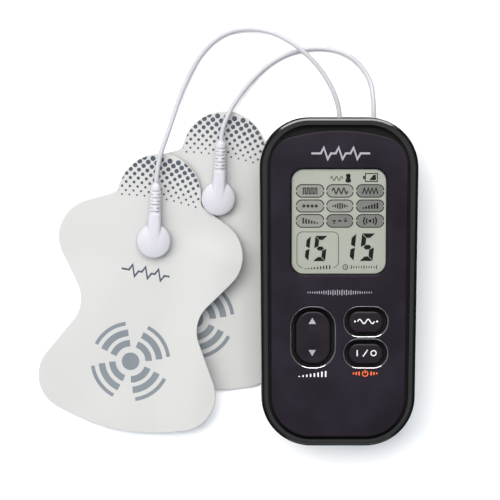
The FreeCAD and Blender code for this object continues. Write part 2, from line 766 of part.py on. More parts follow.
def jack_contacts():
    contacts = []
    for x in pin_places():
        outer = pin_bore(x, PIN_R + CONTACT_GAP + CONTACT_T, JACK_FRONT_Y - SLIP, CONTACT_L)
        contacts.append(outer.cut(pin_bore(x, PIN_R + CONTACT_GAP, JACK_FRONT_Y + CUT, CONTACT_L + 2 * CUT)))
    return group(contacts)


def plug_body():
    outline = rounded(JACK_X, PIN_Z, PLUG_W, PLUG_T, PLUG_R)
    body = Part.Face(belt(outline)).extrude(V(0, 0, PLUG_END_Y - PLUG_FRONT_Y))
    body.rotate(V(0, 0, 0), V(1, 0, 0), 90)
    body.translate(V(0, PLUG_END_Y, 0))
    return body


def plug_pins():
    return group([pin_bore(x, PIN_R, PLUG_FRONT_Y, PIN_L) for x in pin_places()])


def exit_places():
    return [JACK_X + side * EXIT_X for side in (-1, 1)]


def plug_strain_reliefs():
    length = EXIT_END_Y - PLUG_END_Y
    starts = [V(x, PLUG_END_Y, PIN_Z) for x in exit_places()]
    return group([Part.makeCone(*EXIT_R, length, start, PLUS_Y) for start in starts])


# ---------------------------------------------------------------- pads
def pad_lobes():
    """The circles of one pad's right side, up to its upper lobe."""
    end_y = PAD_END_Y + PAD_END_R
    lower_y = end_y - math.sqrt((PAD_END_R - PAD_LOWER_R) ** 2 - PAD_LOWER_X ** 2)
    lower = (PAD_LOWER_X, lower_y, PAD_LOWER_R, 1)
    return [(0.0, end_y, PAD_END_R, 1), lower, PAD_WAIST + (-1,), PAD_UPPER + (1,)]


def pad_circles():
    reach = PAD_TAB_R + PAD_NECK_R + TOUCH_GAP
    neck_x = math.sqrt(reach ** 2 - PAD_NECK_RISE ** 2)
    neck = (neck_x, PAD_TAB_Y + PAD_NECK_RISE, PAD_NECK_R, -1)
    return pad_loop(pad_lobes() + [neck, (0.0, PAD_TAB_Y, PAD_TAB_R, 1)])


def pad_loop(right):
    return [(x + PAD_AXIS_X, y, r, side) for x, y, r, side in mirrored(right)]


def placed_pad(shape, stud, z):
    shape.rotate(V(0, 0, 0), Z, PAD_TURN)
    shape.translate(V(stud[0], stud[1], z))
    return shape


def pad_top_sheet():
    sheet = prism(pad_circles(), PAD_T - PAD_SHEET_T, PAD_T)
    return sheet.cut(post(0, 0, STUD_HOLE_R, 0, PAD_T + CUT))


def pad_conductor():
    top = PAD_T - PAD_SHEET_T
    film = prism(pad_loop(pad_lobes()), top - PAD_FILM_T, top, -PAD_FILM_INSET)
    return film.cut(post(0, 0, STUD_HOLE_R, 0, PAD_T + CUT))


def pad_gel():
    top = PAD_T - PAD_SHEET_T - PAD_FILM_T
    gel = prism(pad_loop(pad_lobes()), 0.0, top, -PAD_GEL_INSET)
    return gel.cut(post(0, 0, STUD_BASE_R, top - STUD_BASE_T, PAD_T))


def pad_stud():
    flange = post(0, 0, STUD_FLANGE_R, PAD_T, PAD_T + STUD_FLANGE_T)
    neck = post(0, 0, STUD_NECK_R, PAD_T, PAD_T + STUD_NECK_TOP)
    head = post(0, 0, STUD_HEAD_R, PAD_T + STUD_NECK_TOP, PAD_T + STUD_TOP)
    head = head.makeFillet(KEY_EDGE, top_edges(head, PAD_T + STUD_TOP))
    return join([flange, neck, head])


def pad_stud_base():
    top = PAD_T - PAD_SHEET_T - PAD_FILM_T
    return join([post(0, 0, STUD_BASE_R, top - STUD_BASE_T, top), post(0, 0, STUD_HOLE_R, top, PAD_T)])


# ---------------------------------------------------------------- snap connectors
def placed_snap(shape, stud, z):
    shape.rotate(V(0, 0, 0), Z, SNAP_TURN)
    shape.translate(V(stud[0], stud[1], z + PAD_T + SNAP_LIFT))
    return shape


def snap_housing():
    cap = post(0, 0, SNAP_R, 0, SNAP_H)
    cap = cap.makeFillet(SNAP_EDGE, top_edges(cap, SNAP_H))
    stem = Part.Face(belt(rounded(0, SNAP_MID, STEM_W, STEM_H, SNAP_EDGE))).extrude(V(0, 0, STEM_END))
    stem.rotate(V(0, 0, 0), V(1, 0, 0), 90)
    stem.translate(V(0, STEM_END, 0))
    body = join([cap, stem])
    body = body.cut(post(0, 0, BASE_R + TOUCH_GAP, -CUT, BASE_T))
    return body.cut(post(0, 0, SOCKET_R + TOUCH_GAP, 0, SOCKET_HIGH + TOUCH_GAP))


def snap_base():
    return tube(0, 0, BASE_R, BASE_HOLE_R, 0, BASE_T)


def snap_socket():
    cup = post(0, 0, SOCKET_R, SOCKET_LOW, SOCKET_HIGH)
    return cup.cut(post(0, 0, SOCKET_BORE_R, 0, SOCKET_HIGH - SOCKET_ROOF_T))


def socket_spring():
    return Part.makeTorus(RING_R, RING_WIRE_R, V(0, 0, RING_Z), Z)


def strain_relief():
    boot = Part.makeCone(BOOT_R[0], BOOT_R[1], BOOT_L, V(0, STEM_END, SNAP_MID), PLUS_Y)
    pitch = BOOT_L / (BOOT_GROOVES + 1)
    for i in range(BOOT_GROOVES):
        far = (i + 1) * pitch
        r = BOOT_R[0] + (BOOT_R[1] - BOOT_R[0]) * far / BOOT_L
        start = V(0, STEM_END + far - BOOT_GROOVE_W / 2, SNAP_MID)
        ring = Part.makeCylinder(2 * BOOT_R[0], BOOT_GROOVE_W, start, PLUS_Y)
        boot = boot.cut(ring.cut(Part.makeCylinder(r - BOOT_GROOVE_DEPTH, BOOT_GROOVE_W, start, PLUS_Y)))
    return boot


def boot_line(stud, z, beyond=0.0):
    """A place on the axis of a connector's strain relief, at its tip or beyond it."""
    turn = math.radians(SNAP_TURN)
    reach = STEM_END + BOOT_L + beyond
    height = z + PAD_T + SNAP_LIFT + SNAP_MID
    return (stud[0] - reach * math.sin(turn), stud[1] + reach * math.cos(turn), height)


# ---------------------------------------------------------------- leads
def lead_start(side):
    """The first two points of a lead: out of its strain relief and straight on."""
    x = JACK_X + side * EXIT_X
    return [(x, EXIT_END_Y, PIN_Z), (x, EXIT_END_Y + EXIT_RUN, PIN_Z)]


def shifted(place, steps):
    return [(place[0] + dx, place[1] + dy, z) for dx, dy, z in steps]


def lead_a_points():
    """From the plug over lead B, along the table and over pad A's tab."""
    by_unit = shifted((JACK_X, EXIT_END_Y), LEAD_A_BY_UNIT)
    by_pad = shifted(STUD_A, LEAD_A_BY_PAD)
    boot = [boot_line(STUD_A, PAD_A_Z, LEAD_A_RUN), boot_line(STUD_A, PAD_A_Z)]
    return lead_start(-1) + by_unit + by_pad + boot


def lead_b_points():
    """From the plug along the table, under lead A and over pad B's tab."""
    by_unit = shifted((JACK_X, EXIT_END_Y), LEAD_B_BY_UNIT)
    by_pad = shifted(STUD_B, LEAD_B_BY_PAD)
    boot = [boot_line(STUD_B, PAD_B_Z, LEAD_B_RUN), boot_line(STUD_B, PAD_B_Z)]
    return lead_start(1) + by_unit + by_pad + boot


def lead(points, name):
    """A tube along the points' straight runs, with a tangent arc at each corner."""
    places = [V(*p) for p in points]
    edges, radii, last = [], [], places[0]
    for before, corner, after in zip(places, places[1:], places[2:]):
        back, on = before - corner, after - corner
        trim = CORNER_SHARE * min(back.Length, on.Length)
        turn = math.pi - back.getAngle(on)
        radius = trim / math.tan(turn / 2)
        radii.append(radius)
        back.normalize()
        on.normalize()
        arrive, leave = corner + back * trim, corner + on * trim
        inward = back + on
        inward.normalize()
        middle = corner + inward * (radius / math.cos(turn / 2) - radius)
        edges.append(Part.LineSegment(last, arrive).toShape())
        edges.append(Part.Arc(arrive, middle, leave).toShape())
        last = leave
    edges.append(Part.LineSegment(last, places[-1]).toShape())
    path = Part.Wire(edges)
    ring = Part.Wire(Part.makeCircle(LEAD_D / 2, places[0], places[1] - places[0]))
    solid = path.makePipeShell([ring], True, False)
    section = math.pi * (LEAD_D / 2) ** 2
    share = solid.Volume / section / path.Length
    print(name, "length", round(path.Length, 1), "volume share", round(share, 4))
    print(name, "corner radii", [round(r, 1) for r in radii])
    return solid


# ---------------------------------------------------------------- the set
def pad_nodes(letter, stud, z):
    made = {
        "top_sheet": pad_top_sheet(),
        "conductor": pad_conductor(),
        "gel": pad_gel(),
        "stud": pad_stud(),
        "stud_base": pad_stud_base(),
    }
    return {f"pad_{letter}_{name}": placed_pad(shape, stud, z) for name, shape in made.items()}


def snap_nodes(letter, stud, z):
    made = {
        "housing": snap_housing(),
        "base_cover": snap_base(),
        "snap_socket": snap_socket(),
        "socket_spring": socket_spring(),
        "strain_relief": strain_relief(),
    }
    return {f"connector_{letter}_{name}": placed_snap(shape, stud, z) for name, shape in made.items()}


def build():
    nodes = {
        "front_shell": front_shell(),
        "back_shell": back_shell(),
        "face_panel": face_panel(),
        "case_screws": case_screws(),
        "board_screws": board_screws(),
        "display_window": display_window(),
        "display_gasket": display_gasket(),
        "lcd_glass": lcd_glass(),
        "lcd_frame": lcd_frame(),
        "lcd_zebra_strips": lcd_zebra_strips(),
        "main_circuit_board": main_circuit_board(),
        "microcontroller": microcontroller(),
        "output_transformer": output_transformer(),
        "boost_inductor": boost_inductor(),
        "storage_capacitors": storage_capacitors(),
        "quartz_crystal": quartz_crystal(),
        "smd_parts": smd_parts(),
        "switch_bodies": switch_bodies(),
        "intensity_key": intensity_key(),
        "intensity_plungers": plungers(switch_places()[:2]),
        "mode_key": press_key(MODE),
        "mode_plunger": plungers(switch_places()[2:3]),
        "power_key": press_key(POWER),
        "power_plunger": plungers(switch_places()[3:]),
        "battery_cell_left": battery_cell(-1),
        "battery_cell_right": battery_cell(1),
        "battery_contact_plates": battery_contact_plates(),
        "battery_springs": battery_springs(),
        "battery_cover": battery_cover(),
        "jack_housing": jack_housing(),
        "jack_contacts": jack_contacts(),
        "plug_body": plug_body(),
        "plug_pins": plug_pins(),
        "plug_strain_reliefs": plug_strain_reliefs(),
        "lead_a": lead(lead_a_points(), "lead_a"),
        "lead_b": lead(lead_b_points(), "lead_b"),
    }
    for letter, stud, z in (("a", STUD_A, PAD_A_Z), ("b", STUD_B, PAD_B_Z)):
        nodes.update(pad_nodes(letter, stud, z))
        nodes.update(snap_nodes(letter, stud, z))
    return nodes


os.makedirs("parts", exist_ok=True)
for node, shape in build().items():
    shape.exportStep(f"parts/{node}.step")
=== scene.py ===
import bpy
import bmesh
import cmath
import json
import math
from mathutils import Matrix, Vector
from mathutils.geometry import delaunay_2d_cdt


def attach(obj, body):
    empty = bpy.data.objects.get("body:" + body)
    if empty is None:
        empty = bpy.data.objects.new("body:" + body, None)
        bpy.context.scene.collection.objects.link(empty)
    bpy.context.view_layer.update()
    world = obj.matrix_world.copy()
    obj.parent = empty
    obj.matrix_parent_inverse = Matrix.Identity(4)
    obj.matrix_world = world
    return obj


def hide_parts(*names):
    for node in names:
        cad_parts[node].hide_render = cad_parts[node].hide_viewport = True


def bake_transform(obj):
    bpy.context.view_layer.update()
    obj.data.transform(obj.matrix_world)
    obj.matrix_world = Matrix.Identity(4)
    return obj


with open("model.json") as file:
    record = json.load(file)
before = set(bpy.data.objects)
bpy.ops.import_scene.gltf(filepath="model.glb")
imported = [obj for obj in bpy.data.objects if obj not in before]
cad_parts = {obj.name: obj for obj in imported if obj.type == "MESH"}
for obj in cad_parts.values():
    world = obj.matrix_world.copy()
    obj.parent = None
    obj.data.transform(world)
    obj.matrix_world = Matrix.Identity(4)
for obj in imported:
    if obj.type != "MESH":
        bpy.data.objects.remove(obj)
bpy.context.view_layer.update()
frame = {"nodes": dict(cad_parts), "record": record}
MM = 0.001
NODES = frame["nodes"]
SCENE = bpy.context.scene

# ------------------------------------------------------------------ sizes, in mm, as in the CAD
CASE_H, CASE_TOP_W, CASE_BOTTOM_W, CASE_R, CASE_D = 112.0, 53.8, 52.4, 17.0, 25.0
PANEL_LOW, RIM_Z, GROOVE_INSET = 23.2, 24.3, 2.3
WINDOW = (0.0, 20.9, 32.7, 36.2, 4.3)
LCD_TOP = 23.5
ROCKER = (-8.66, -18.46, 11.8, 17.6, 5.2)
MODE = (9.29, -13.08, 11.7, 7.0, 3.3)
POWER = (9.29, -23.96, 11.7, 6.6, 3.2)
WELL_MARGIN = 1.5
KEY_TOP = 25.2
LEAD_D = 1.65
STUD_A, STUD_B = (-63.55, 12.8), (-41.05, 27.5)
PAD_T = 1.5
PAD_AXIS_X, PAD_TAB_Y, PAD_TAB_R = -0.9, 15.9, 14.6
PAD_NECK_R, PAD_NECK_RISE, TOUCH_GAP = 3.0, 0.8, 0.05
PAD_UPPER, PAD_WAIST = (19.4, -2.2, 13.2), (32.9, -26.6, 12.0)
PAD_LOWER_X, PAD_LOWER_R = 18.8, 12.8
PAD_END_Y, PAD_END_R = -68.1, 66.0
PAD_A_Z, PAD_B_Z = 1.9, 0.0
PAD_TURN = math.radians(-10.0)
SNAP_TURN = math.radians(-2.7)
SNAP_LIFT = 0.3


# ------------------------------------------------------------------ small helpers
def linear(r, g, b):
    """An sRGB colour, 0 to 255, as linear light."""
    out = []
    for c in (r, g, b):
        c /= 255.0
        out.append(c / 12.92 if c <= 0.04045 else ((c + 0.055) / 1.055) ** 2.4)
    return (*out, 1.0)


def smooth(t):
    t = max(0.0, min(1.0, t))
    return t * t * (3 - 2 * t)


def outline(rounds, grow=0.0, step=6.0):
    """Points in mm round circles (x, y, radius, side), counter-clockwise; grow moves them out."""
    places = [complex(x, y) for x, y, r, side in rounds]
    radii = [side * r + grow for x, y, r, side in rounds]
    count = len(rounds)
    heads, leave, arrive = [], [], [None] * count
    for i in range(count):
        j = (i + 1) % count
        apart, turn = places[j] - places[i], radii[j] - radii[i]
        run = math.sqrt(max(abs(apart) ** 2 - turn ** 2, 0.0))
        head = apart / complex(run, turn)
        heads.append(head)
        leave.append(places[i] - 1j * head * radii[i])
        arrive[j] = places[j] - 1j * head * radii[j]
    points = []
    for i in range(count):
        before = heads[i - 1]
        swing = cmath.phase(heads[i] / before)
        side = rounds[i][3]
        if side * swing < -1e-6:
            swing += side * 2 * math.pi
        pieces = max(2, math.ceil(abs(math.degrees(swing)) / step))
        for k in range(pieces + 1):
            p = places[i] - 1j * before * cmath.exp(1j * swing * k / pieces) * radii[i]
            points.append((p.real, p.imag))
        on = arrive[(i + 1) % count]
        long_run = abs(on - leave[i])
        for k in range(1, int(long_run // 4.0) + 1):
            p = leave[i] + (on - leave[i]) * k / (int(long_run // 4.0) + 1)
            points.append((p.real, p.imag))
    return points


def mirrored(right):
    left = [(-x, y, r, side) for x, y, r, side in reversed(right) if abs(x) > 1e-9]
    return right + left


def rounded(x, y, w, h, r):
    dx, dy = w / 2 - r, h / 2 - r
    return [(x + dx, y - dy, r, 1), (x + dx, y + dy, r, 1), (x - dx, y + dy, r, 1), (x - dx, y - dy, r, 1)]


def key_outline(key, margin=0.0):
    return outline(rounded(*key), margin)


def turned(points, angle, move):
    c, s = math.cos(angle), math.sin(angle)
    return [(x * c - y * s + move[0], x * s + y * c + move[1]) for x, y in points]


def finish_mesh(name, bm, material, body=None, sharp=35.0, smooth_faces=True):
    """A new object from a bmesh in mm, in place and riding on its body."""
    bmesh.ops.remove_doubles(bm, verts=bm.verts, dist=1e-5)
    bmesh.ops.recalc_face_normals(bm, faces=bm.faces)
    bmesh.ops.scale(bm, vec=(MM, MM, MM), verts=bm.verts)
    mesh = bpy.data.meshes.new(name)
    bm.to_mesh(mesh)
    bm.free()
    for face in mesh.polygons:
        face.use_smooth = smooth_faces
    if smooth_faces:
        mesh.set_sharp_from_angle(angle=math.radians(sharp))
    obj = bpy.data.objects.new(name, mesh)
    SCENE.collection.objects.link(obj)
    mesh.materials.append(material)
    if body:
        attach(obj, body)
    return obj


def inside(point, loop):
    x, y = point
    hit = False
    j = len(loop) - 1
    for i in range(len(loop)):
        xi, yi = loop[i]
        xj, yj = loop[j]
        if (yi > y) != (yj > y) and x < (xj - xi) * (y - yi) / (yj - yi) + xi:
            hit = not hit
        j = i
    return hit


def gap_to(point, loop):
    """Distance from a point to a closed outline."""
    x, y = point
    best = 1e9
    j = len(loop) - 1
    for i in range(len(loop)):
        ax, ay = loop[j]
        bx, by = loop[i]
        dx, dy = bx - ax, by - ay
        size = dx * dx + dy * dy
        t = 0.0 if size == 0 else max(0.0, min(1.0, ((x - ax) * dx + (y - ay) * dy) / size))
        best = min(best, math.hypot(x - ax - t * dx, y - ay - t * dy))
        j = i
    return best


def fill(loop, pitch, clear=0.6):
    """Triangles of an outline with evenly spread inner points: (points, faces)."""
    count = len(loop)
    points = [Vector(p) for p in loop]
    low_x, high_x = min(p[0] for p in loop), max(p[0] for p in loop)
    low_y, high_y = min(p[1] for p in loop), max(p[1] for p in loop)
    row, y = 0, low_y + pitch / 2
    while y < high_y:
        x = low_x + (pitch / 2 if row % 2 else 0.0)
        while x < high_x:
            if inside((x, y), loop) and gap_to((x, y), loop) > clear * pitch:
                points.append(Vector((x, y)))
            x += pitch
        y += pitch * 0.87
        row += 1
    edges = [(i, (i + 1) % count) for i in range(count)]
    made = delaunay_2d_cdt(points, edges, [], 1, 1e-6)
    return [(p.x, p.y) for p in made[0]], [list(f) for f in made[2]]


def skin(bm, loops, shape, cap_low=True, cap_high=True, pitch=2.0):
    """Loops of ((x, y) points, z) stacked into a closed skin; shape turns x, y, z into a place."""
    rings = [[bm.verts.new(shape(x, y, z)) for x, y in loop] for loop, z in loops]
    for low, high in zip(rings, rings[1:]):
        for i in range(len(low)):
            j = (i + 1) % len(low)
            bm.faces.new((low[i], low[j], high[j], high[i]))
    for wanted, (loop, z) in ((cap_low, loops[0]), (cap_high, loops[-1])):
        if wanted:
            points, faces = fill(loop, pitch)
            verts = [bm.verts.new(shape(x, y, z)) for x, y in points]
            for face in faces:
                bm.faces.new([verts[i] for i in face])


def still(x, y, z):
    return (x, y, z)


def stack(bm, rings):
    """Rings of vertices joined into a closed skin with flat ends."""
    count = len(rings[0])
    for low, high in zip(rings, rings[1:]):
        for k in range(count):
            bm.faces.new((low[k], low[(k + 1) % count], high[(k + 1) % count], high[k]))
    bm.faces.new(rings[0])
    bm.faces.new(rings[-1])


# ------------------------------------------------------------------ materials
def noise(nodes, links, where, scale, detail):
    node = nodes.new("ShaderNodeTexNoise")
    node.inputs["Scale"].default_value = scale
    node.inputs["Detail"].default_value = detail
    links.new(where.outputs["Object"], node.inputs["Vector"])
    return node


def material(name, color, rough, vary=0.06, grain=(900.0, 0.08), wear=0.05, metal=0.0, coat=0.0,
             specular=0.5, subsurface=0.0, tint=None, sheen=0.0, scale=160.0):
    """A moulded or coated surface: colour drift, uneven gloss and a fine grain in relief."""
    mat = bpy.data.materials.new(name)
    mat.use_nodes = True
    nodes, links = mat.node_tree.nodes, mat.node_tree.links
    shader = nodes["Principled BSDF"]
    where = nodes.new("ShaderNodeTexCoord")
    drift = noise(nodes, links, where, scale, 4.0)
    ramp = nodes.new("ShaderNodeValToRGB")
    dark = tuple(c * (1 - vary) for c in color[:3])
    light = tuple(min(1.0, c * (1 + vary)) for c in (tint or color)[:3])
    ramp.color_ramp.elements[0].position = 0.3
    ramp.color_ramp.elements[1].position = 0.7
    ramp.color_ramp.elements[0].color = (*dark, 1.0)
    ramp.color_ramp.elements[1].color = (*light, 1.0)
    links.new(drift.outputs["Fac"], ramp.inputs["Fac"])
    links.new(ramp.outputs["Color"], shader.inputs["Base Color"])
    rubbed = noise(nodes, links, where, scale * 2.3, 6.0)
    spread = nodes.new("ShaderNodeMapRange")
    spread.inputs["From Min"].default_value = 0.3
    spread.inputs["From Max"].default_value = 0.7
    spread.inputs["To Min"].default_value = max(0.02, rough - wear)
    spread.inputs["To Max"].default_value = min(1.0, rough + wear)
    links.new(rubbed.outputs["Fac"], spread.inputs["Value"])
    links.new(spread.outputs["Result"], shader.inputs["Roughness"])
    fine = noise(nodes, links, where, grain[0], 3.0)
    bump = nodes.new("ShaderNodeBump")
    bump.inputs["Strength"].default_value = grain[1]
    bump.inputs["Distance"].default_value = 0.0002
    links.new(fine.outputs["Fac"], bump.inputs["Height"])
    links.new(bump.outputs["Normal"], shader.inputs["Normal"])
    shader.inputs["Metallic"].default_value = metal
    shader.inputs["Coat Weight"].default_value = coat
    shader.inputs["Coat Roughness"].default_value = 0.08
    shader.inputs["Specular IOR Level"].default_value = specular
    if subsurface:
        shader.inputs["Subsurface Weight"].default_value = subsurface
        shader.inputs["Subsurface Radius"].default_value = (0.002, 0.0016, 0.0014)
        shader.inputs["Subsurface Scale"].default_value = 1.0
    if sheen:
        shader.inputs["Sheen Weight"].default_value = sheen
        shader.inputs["Sheen Roughness"].default_value = 0.5
    return mat


def clear_material(name, color, rough, clear):
    """A clear sheet: light goes through it, and it mirrors more at a slant."""
    mat = material(name, color, rough, vary=0.02, grain=(1200.0, 0.01), wear=0.01)
    shader = mat.node_tree.nodes["Principled BSDF"]
    shader.inputs["Alpha"].default_value = 1.0 - clear
    shader.inputs["Specular IOR Level"].default_value = 1.0
    return mat


WHITE_PAD = (177, 177, 176)
M = {
    "case_black": material("case_gloss_black", linear(13, 12, 14), 0.2, vary=0.15, grain=(2600.0, 0.015),
                           wear=0.05, coat=1.0, scale=90.0),
    "back_black": material("back_satin_black", linear(27, 26, 29), 0.42, vary=0.12, grain=(3800.0, 0.35),
                           wear=0.07),
    "panel_print": material("panel_satin_plum", linear(26, 20, 28), 0.5, vary=0.07, grain=(5200.0, 0.12),
                            wear=0.05, specular=0.14, tint=linear(32, 27, 36), scale=70.0),
    "key_dark": material("key_satin_plum", linear(29, 23, 30), 0.38, vary=0.08, grain=(4200.0, 0.18),
                         wear=0.06, specular=0.22),
    "window_clear": clear_material("window_clear", linear(20, 22, 22), 0.05, 0.88),
    "lcd": material("lcd_glass_grey", linear(176, 180, 168), 0.35, vary=0.025, grain=(2500.0, 0.03),
                    scale=40.0, specular=0.3),
    "gasket_foam": material("gasket_foam", linear(38, 38, 40), 0.9, grain=(3000.0, 0.6)),
    "lcd_tray": material("lcd_tray_white", linear(205, 206, 208), 0.5, grain=(2500.0, 0.15)),
    "zebra": material("zebra_rubber", linear(70, 66, 74), 0.7, vary=0.2, grain=(4000.0, 0.3)),
    "board": material("board_resist", linear(22, 78, 52), 0.38, vary=0.18, grain=(1500.0, 0.2), scale=500.0),
    "chip": material("chip_epoxy", linear(32, 32, 34), 0.6, grain=(5000.0, 0.4)),
    "ferrite": material("ferrite_grey", linear(66, 66, 70), 0.55, vary=0.15, grain=(3000.0, 0.5)),
    "capacitor": material("capacitor_sleeve", linear(34, 44, 92), 0.32, grain=(1500.0, 0.08), coat=0.2),
    "crystal": material("crystal_can", linear(190, 190, 192), 0.28, metal=1.0, grain=(2500.0, 0.12)),
    "switch": material("switch_body", linear(46, 46, 48), 0.5, grain=(2500.0, 0.2)),
    "plunger": material("plunger_tan", linear(196, 150, 112), 0.45, grain=(2500.0, 0.2)),
    "screw": material("screw_zinc", linear(170, 168, 160), 0.3, metal=1.0, vary=0.12, grain=(2200.0, 0.25)),
    "cell": material("cell_sleeve", linear(96, 100, 108), 0.28, metal=0.6, vary=0.08,
                     grain=(1500.0, 0.05), coat=0.4),
    "contact": material("contact_nickel", linear(200, 198, 190), 0.25, metal=1.0, grain=(2200.0, 0.15)),
    "brass": material("brass_plate", linear(205, 172, 104), 0.25, metal=1.0, vary=0.1, grain=(2200.0, 0.15)),
    "jack": material("jack_black", linear(34, 34, 36), 0.5, grain=(2500.0, 0.2)),
    "snap_white": material("snap_moulded_white", linear(181, 180, 187), 0.36, vary=0.02, grain=(2600.0, 0.05),
                           wear=0.04, subsurface=0.12, scale=120.0),
    "lead_white": material("lead_pvc_white", linear(172, 171, 177), 0.4, vary=0.03, grain=(1800.0, 0.06),
                           subsurface=0.1, scale=120.0),
    "boot_white": material("boot_soft_white", linear(182, 180, 187), 0.5, vary=0.03, grain=(2600.0, 0.12),
                           subsurface=0.15, scale=120.0),
    "pad_cover": material("pad_cover_film", linear(*WHITE_PAD), 0.62, vary=0.02, grain=(1500.0, 0.22),
                          wear=0.05, specular=0.25, tint=linear(175, 175, 174), sheen=0.05, scale=70.0),
    "carbon": material("carbon_film", linear(30, 30, 32), 0.55, vary=0.15, grain=(2500.0, 0.2)),
    "gel": material("hydrogel", linear(206, 214, 218), 0.2, vary=0.06, grain=(700.0, 0.3), subsurface=0.3),
}


def ink_material(name, color, vary, rough=0.5, grain=(4000.0, 0.1), specular=0.5, metal=0.0):
    return material(name, color, rough, vary=vary, grain=grain, specular=specular, metal=metal)


def flat_ink(name, color, vary):
    return ink_material(name, color, vary, 0.6, (3000.0, 0.15), 0.2)


def segment(name, color, vary):
    return ink_material(name, color, vary, 0.4, (3000.0, 0.05), 0.2)


INK_SILVER = ink_material("ink_silver", linear(152, 150, 157), 0.06, rough=0.35, metal=0.15)
INK_GREY = ink_material("ink_pale_grey", linear(150, 146, 156), 0.06)
INK_WHITE = ink_material("ink_white", linear(214, 212, 216), 0.05)
INK_ORANGE = ink_material("ink_orange", linear(222, 98, 44), 0.08)
INK_SLATE = flat_ink("ink_slate", linear(66, 73, 84), 0.08)
INK_SOFT = flat_ink("ink_soft_grey", linear(112, 119, 124), 0.05)
LCD_DARK = segment("lcd_segment_dark", linear(15, 16, 15), 0.1)
LCD_MID = segment("lcd_segment_mid", linear(52, 54, 51), 0.08)
LCD_PALE = segment("lcd_field_pale", linear(152, 153, 146), 0.04)
LCD_FIELD = segment("lcd_field_dark", linear(126, 127, 122), 0.04)


def sunk_matt_and_painted_shade(mat, half_w, half_h, r, inset, top):
    """The sunk channel inside a rounded rectangle is matt, and its colour is darkened to near black as
    painted shade for the recess.
    """
    nodes, links = mat.node_tree.nodes, mat.node_tree.links
    shader = nodes["Principled BSDF"]
    where = nodes.new("ShaderNodeTexCoord")

    def vector(kind, source, value):
        node = nodes.new("ShaderNodeVectorMath")
        node.operation = kind
        links.new(source, node.inputs[0])
        if value is not None:
            node.inputs[1].default_value = value
        return node

    away = vector("ABSOLUTE", where.outputs["Object"], None)
    away = vector("SUBTRACT", away.outputs["Vector"], (half_w - r, half_h - r, 0.0))
    away = vector("MAXIMUM", away.outputs["Vector"], (0.0, 0.0, 0.0))
    away = vector("MULTIPLY", away.outputs["Vector"], (1.0, 1.0, 0.0))
    away = vector("LENGTH", away.outputs["Vector"], None)
    rim = nodes.new("ShaderNodeMapRange")
    links.new(away.outputs["Value"], rim.inputs["Value"])
    rim.inputs["From Min"].default_value = r - inset - 0.0001
    rim.inputs["From Max"].default_value = r - inset + 0.0001
    height = nodes.new("ShaderNodeSeparateXYZ")
    links.new(where.outputs["Object"], height.inputs["Vector"])
    crest = nodes.new("ShaderNodeMapRange")
    links.new(height.outputs["Z"], crest.inputs["Value"])
    crest.inputs["From Min"].default_value = top - 0.0005
    crest.inputs["From Max"].default_value = top - 0.0002
    unshaded = nodes.new("ShaderNodeMath")
    unshaded.operation = "MAXIMUM"
    links.new(rim.outputs["Result"], unshaded.inputs[0])
    links.new(crest.outputs["Result"], unshaded.inputs[1])
    links.new(unshaded.outputs["Value"], shader.inputs["Coat Weight"])
    # painted shade: the near-black base colour stands in for the recess's shade; the higher roughness is the
    # channel's real matt finish
    shade_and_matt = (("Base Color", (0.0012, 0.0012, 0.0014, 1.0)), ("Roughness", (0.75, 0.75, 0.75, 1.0)))
    for socket, deep in shade_and_matt:
        before = shader.inputs[socket].links[0].from_socket
        mix = nodes.new("ShaderNodeMix")
        mix.data_type = "RGBA"
        mix.inputs[6].default_value = deep
        links.new(unshaded.outputs["Value"], mix.inputs["Factor"])
        links.new(before, mix.inputs[7])
        links.new(mix.outputs[2], shader.inputs[socket])


# painted shade: the case's sunk channel is darkened to near black in its colour, and made matt
sunk_matt_and_painted_shade(M["case_black"], (CASE_TOP_W + CASE_BOTTOM_W) / 4 * MM, CASE_H / 2 * MM, CASE_R * MM,
          GROOVE_INSET * MM, RIM_Z * MM)

# ------------------------------------------------------------------ camera
TARGET = Vector((-30.08, 11.37, 25.0)) * MM
TILT, AWAY = math.radians(5.0), 0.650
camera = bpy.data.objects.new("camera", bpy.data.cameras.new("camera"))
camera.location = TARGET + AWAY * Vector((0.0, math.sin(TILT), math.cos(TILT)))
camera.rotation_euler = (-TILT, 0.0, 0.0)
camera.data.sensor_width = 36.0
camera.data.lens = 138.3
camera.data.clip_start, camera.data.clip_end = 0.05, 20.0
SCENE.collection.objects.link(camera)
SCENE.camera = camera


# ------------------------------------------------------------------ leads
def spline_line(name, points):
    """The line of a NURBS spline through given points, as places in metres."""
    curve = bpy.data.curves.new(name, "CURVE")
    curve.dimensions = "3D"
    spline = curve.splines.new("NURBS")
    spline.points.add(len(points) - 1)
    for p, place in zip(spline.points, points):
        p.co = (place[0] * MM, place[1] * MM, place[2] * MM, 1.0)
    spline.order_u = 3
    spline.use_endpoint_u = True
    curve.resolution_u = 24
    holder = bpy.data.objects.new(name, curve)
    SCENE.collection.objects.link(holder)
    bpy.context.view_layer.update()
    mesh = bpy.data.meshes.new_from_object(holder.evaluated_get(bpy.context.evaluated_depsgraph_get()))
    line = [v.co.copy() for v in mesh.vertices]
    bpy.data.objects.remove(holder)
    bpy.data.meshes.remove(mesh)
    return line


def lead_tube(name, line, radius, sides=14):
    """A round tube along a line, with flat ends."""
    bm = bmesh.new()
    rings = []
    side = Vector((1.0, 0.0, 0.0))
    for i, place in enumerate(line):
        along = (line[min(i + 1, len(line) - 1)] - line[max(i - 1, 0)]).normalized()
        side = (side - along * side.dot(along)).normalized()
        up = along.cross(side)
        ring = []
        for k in range(sides):
            a = 2 * math.pi * k / sides
            ring.append(bm.verts.new((place + (side * math.cos(a) + up * math.sin(a)) * radius) / MM))
        rings.append(ring)
    stack(bm, rings)
    return finish_mesh(name, bm, M["lead_white"], sharp=60.0)


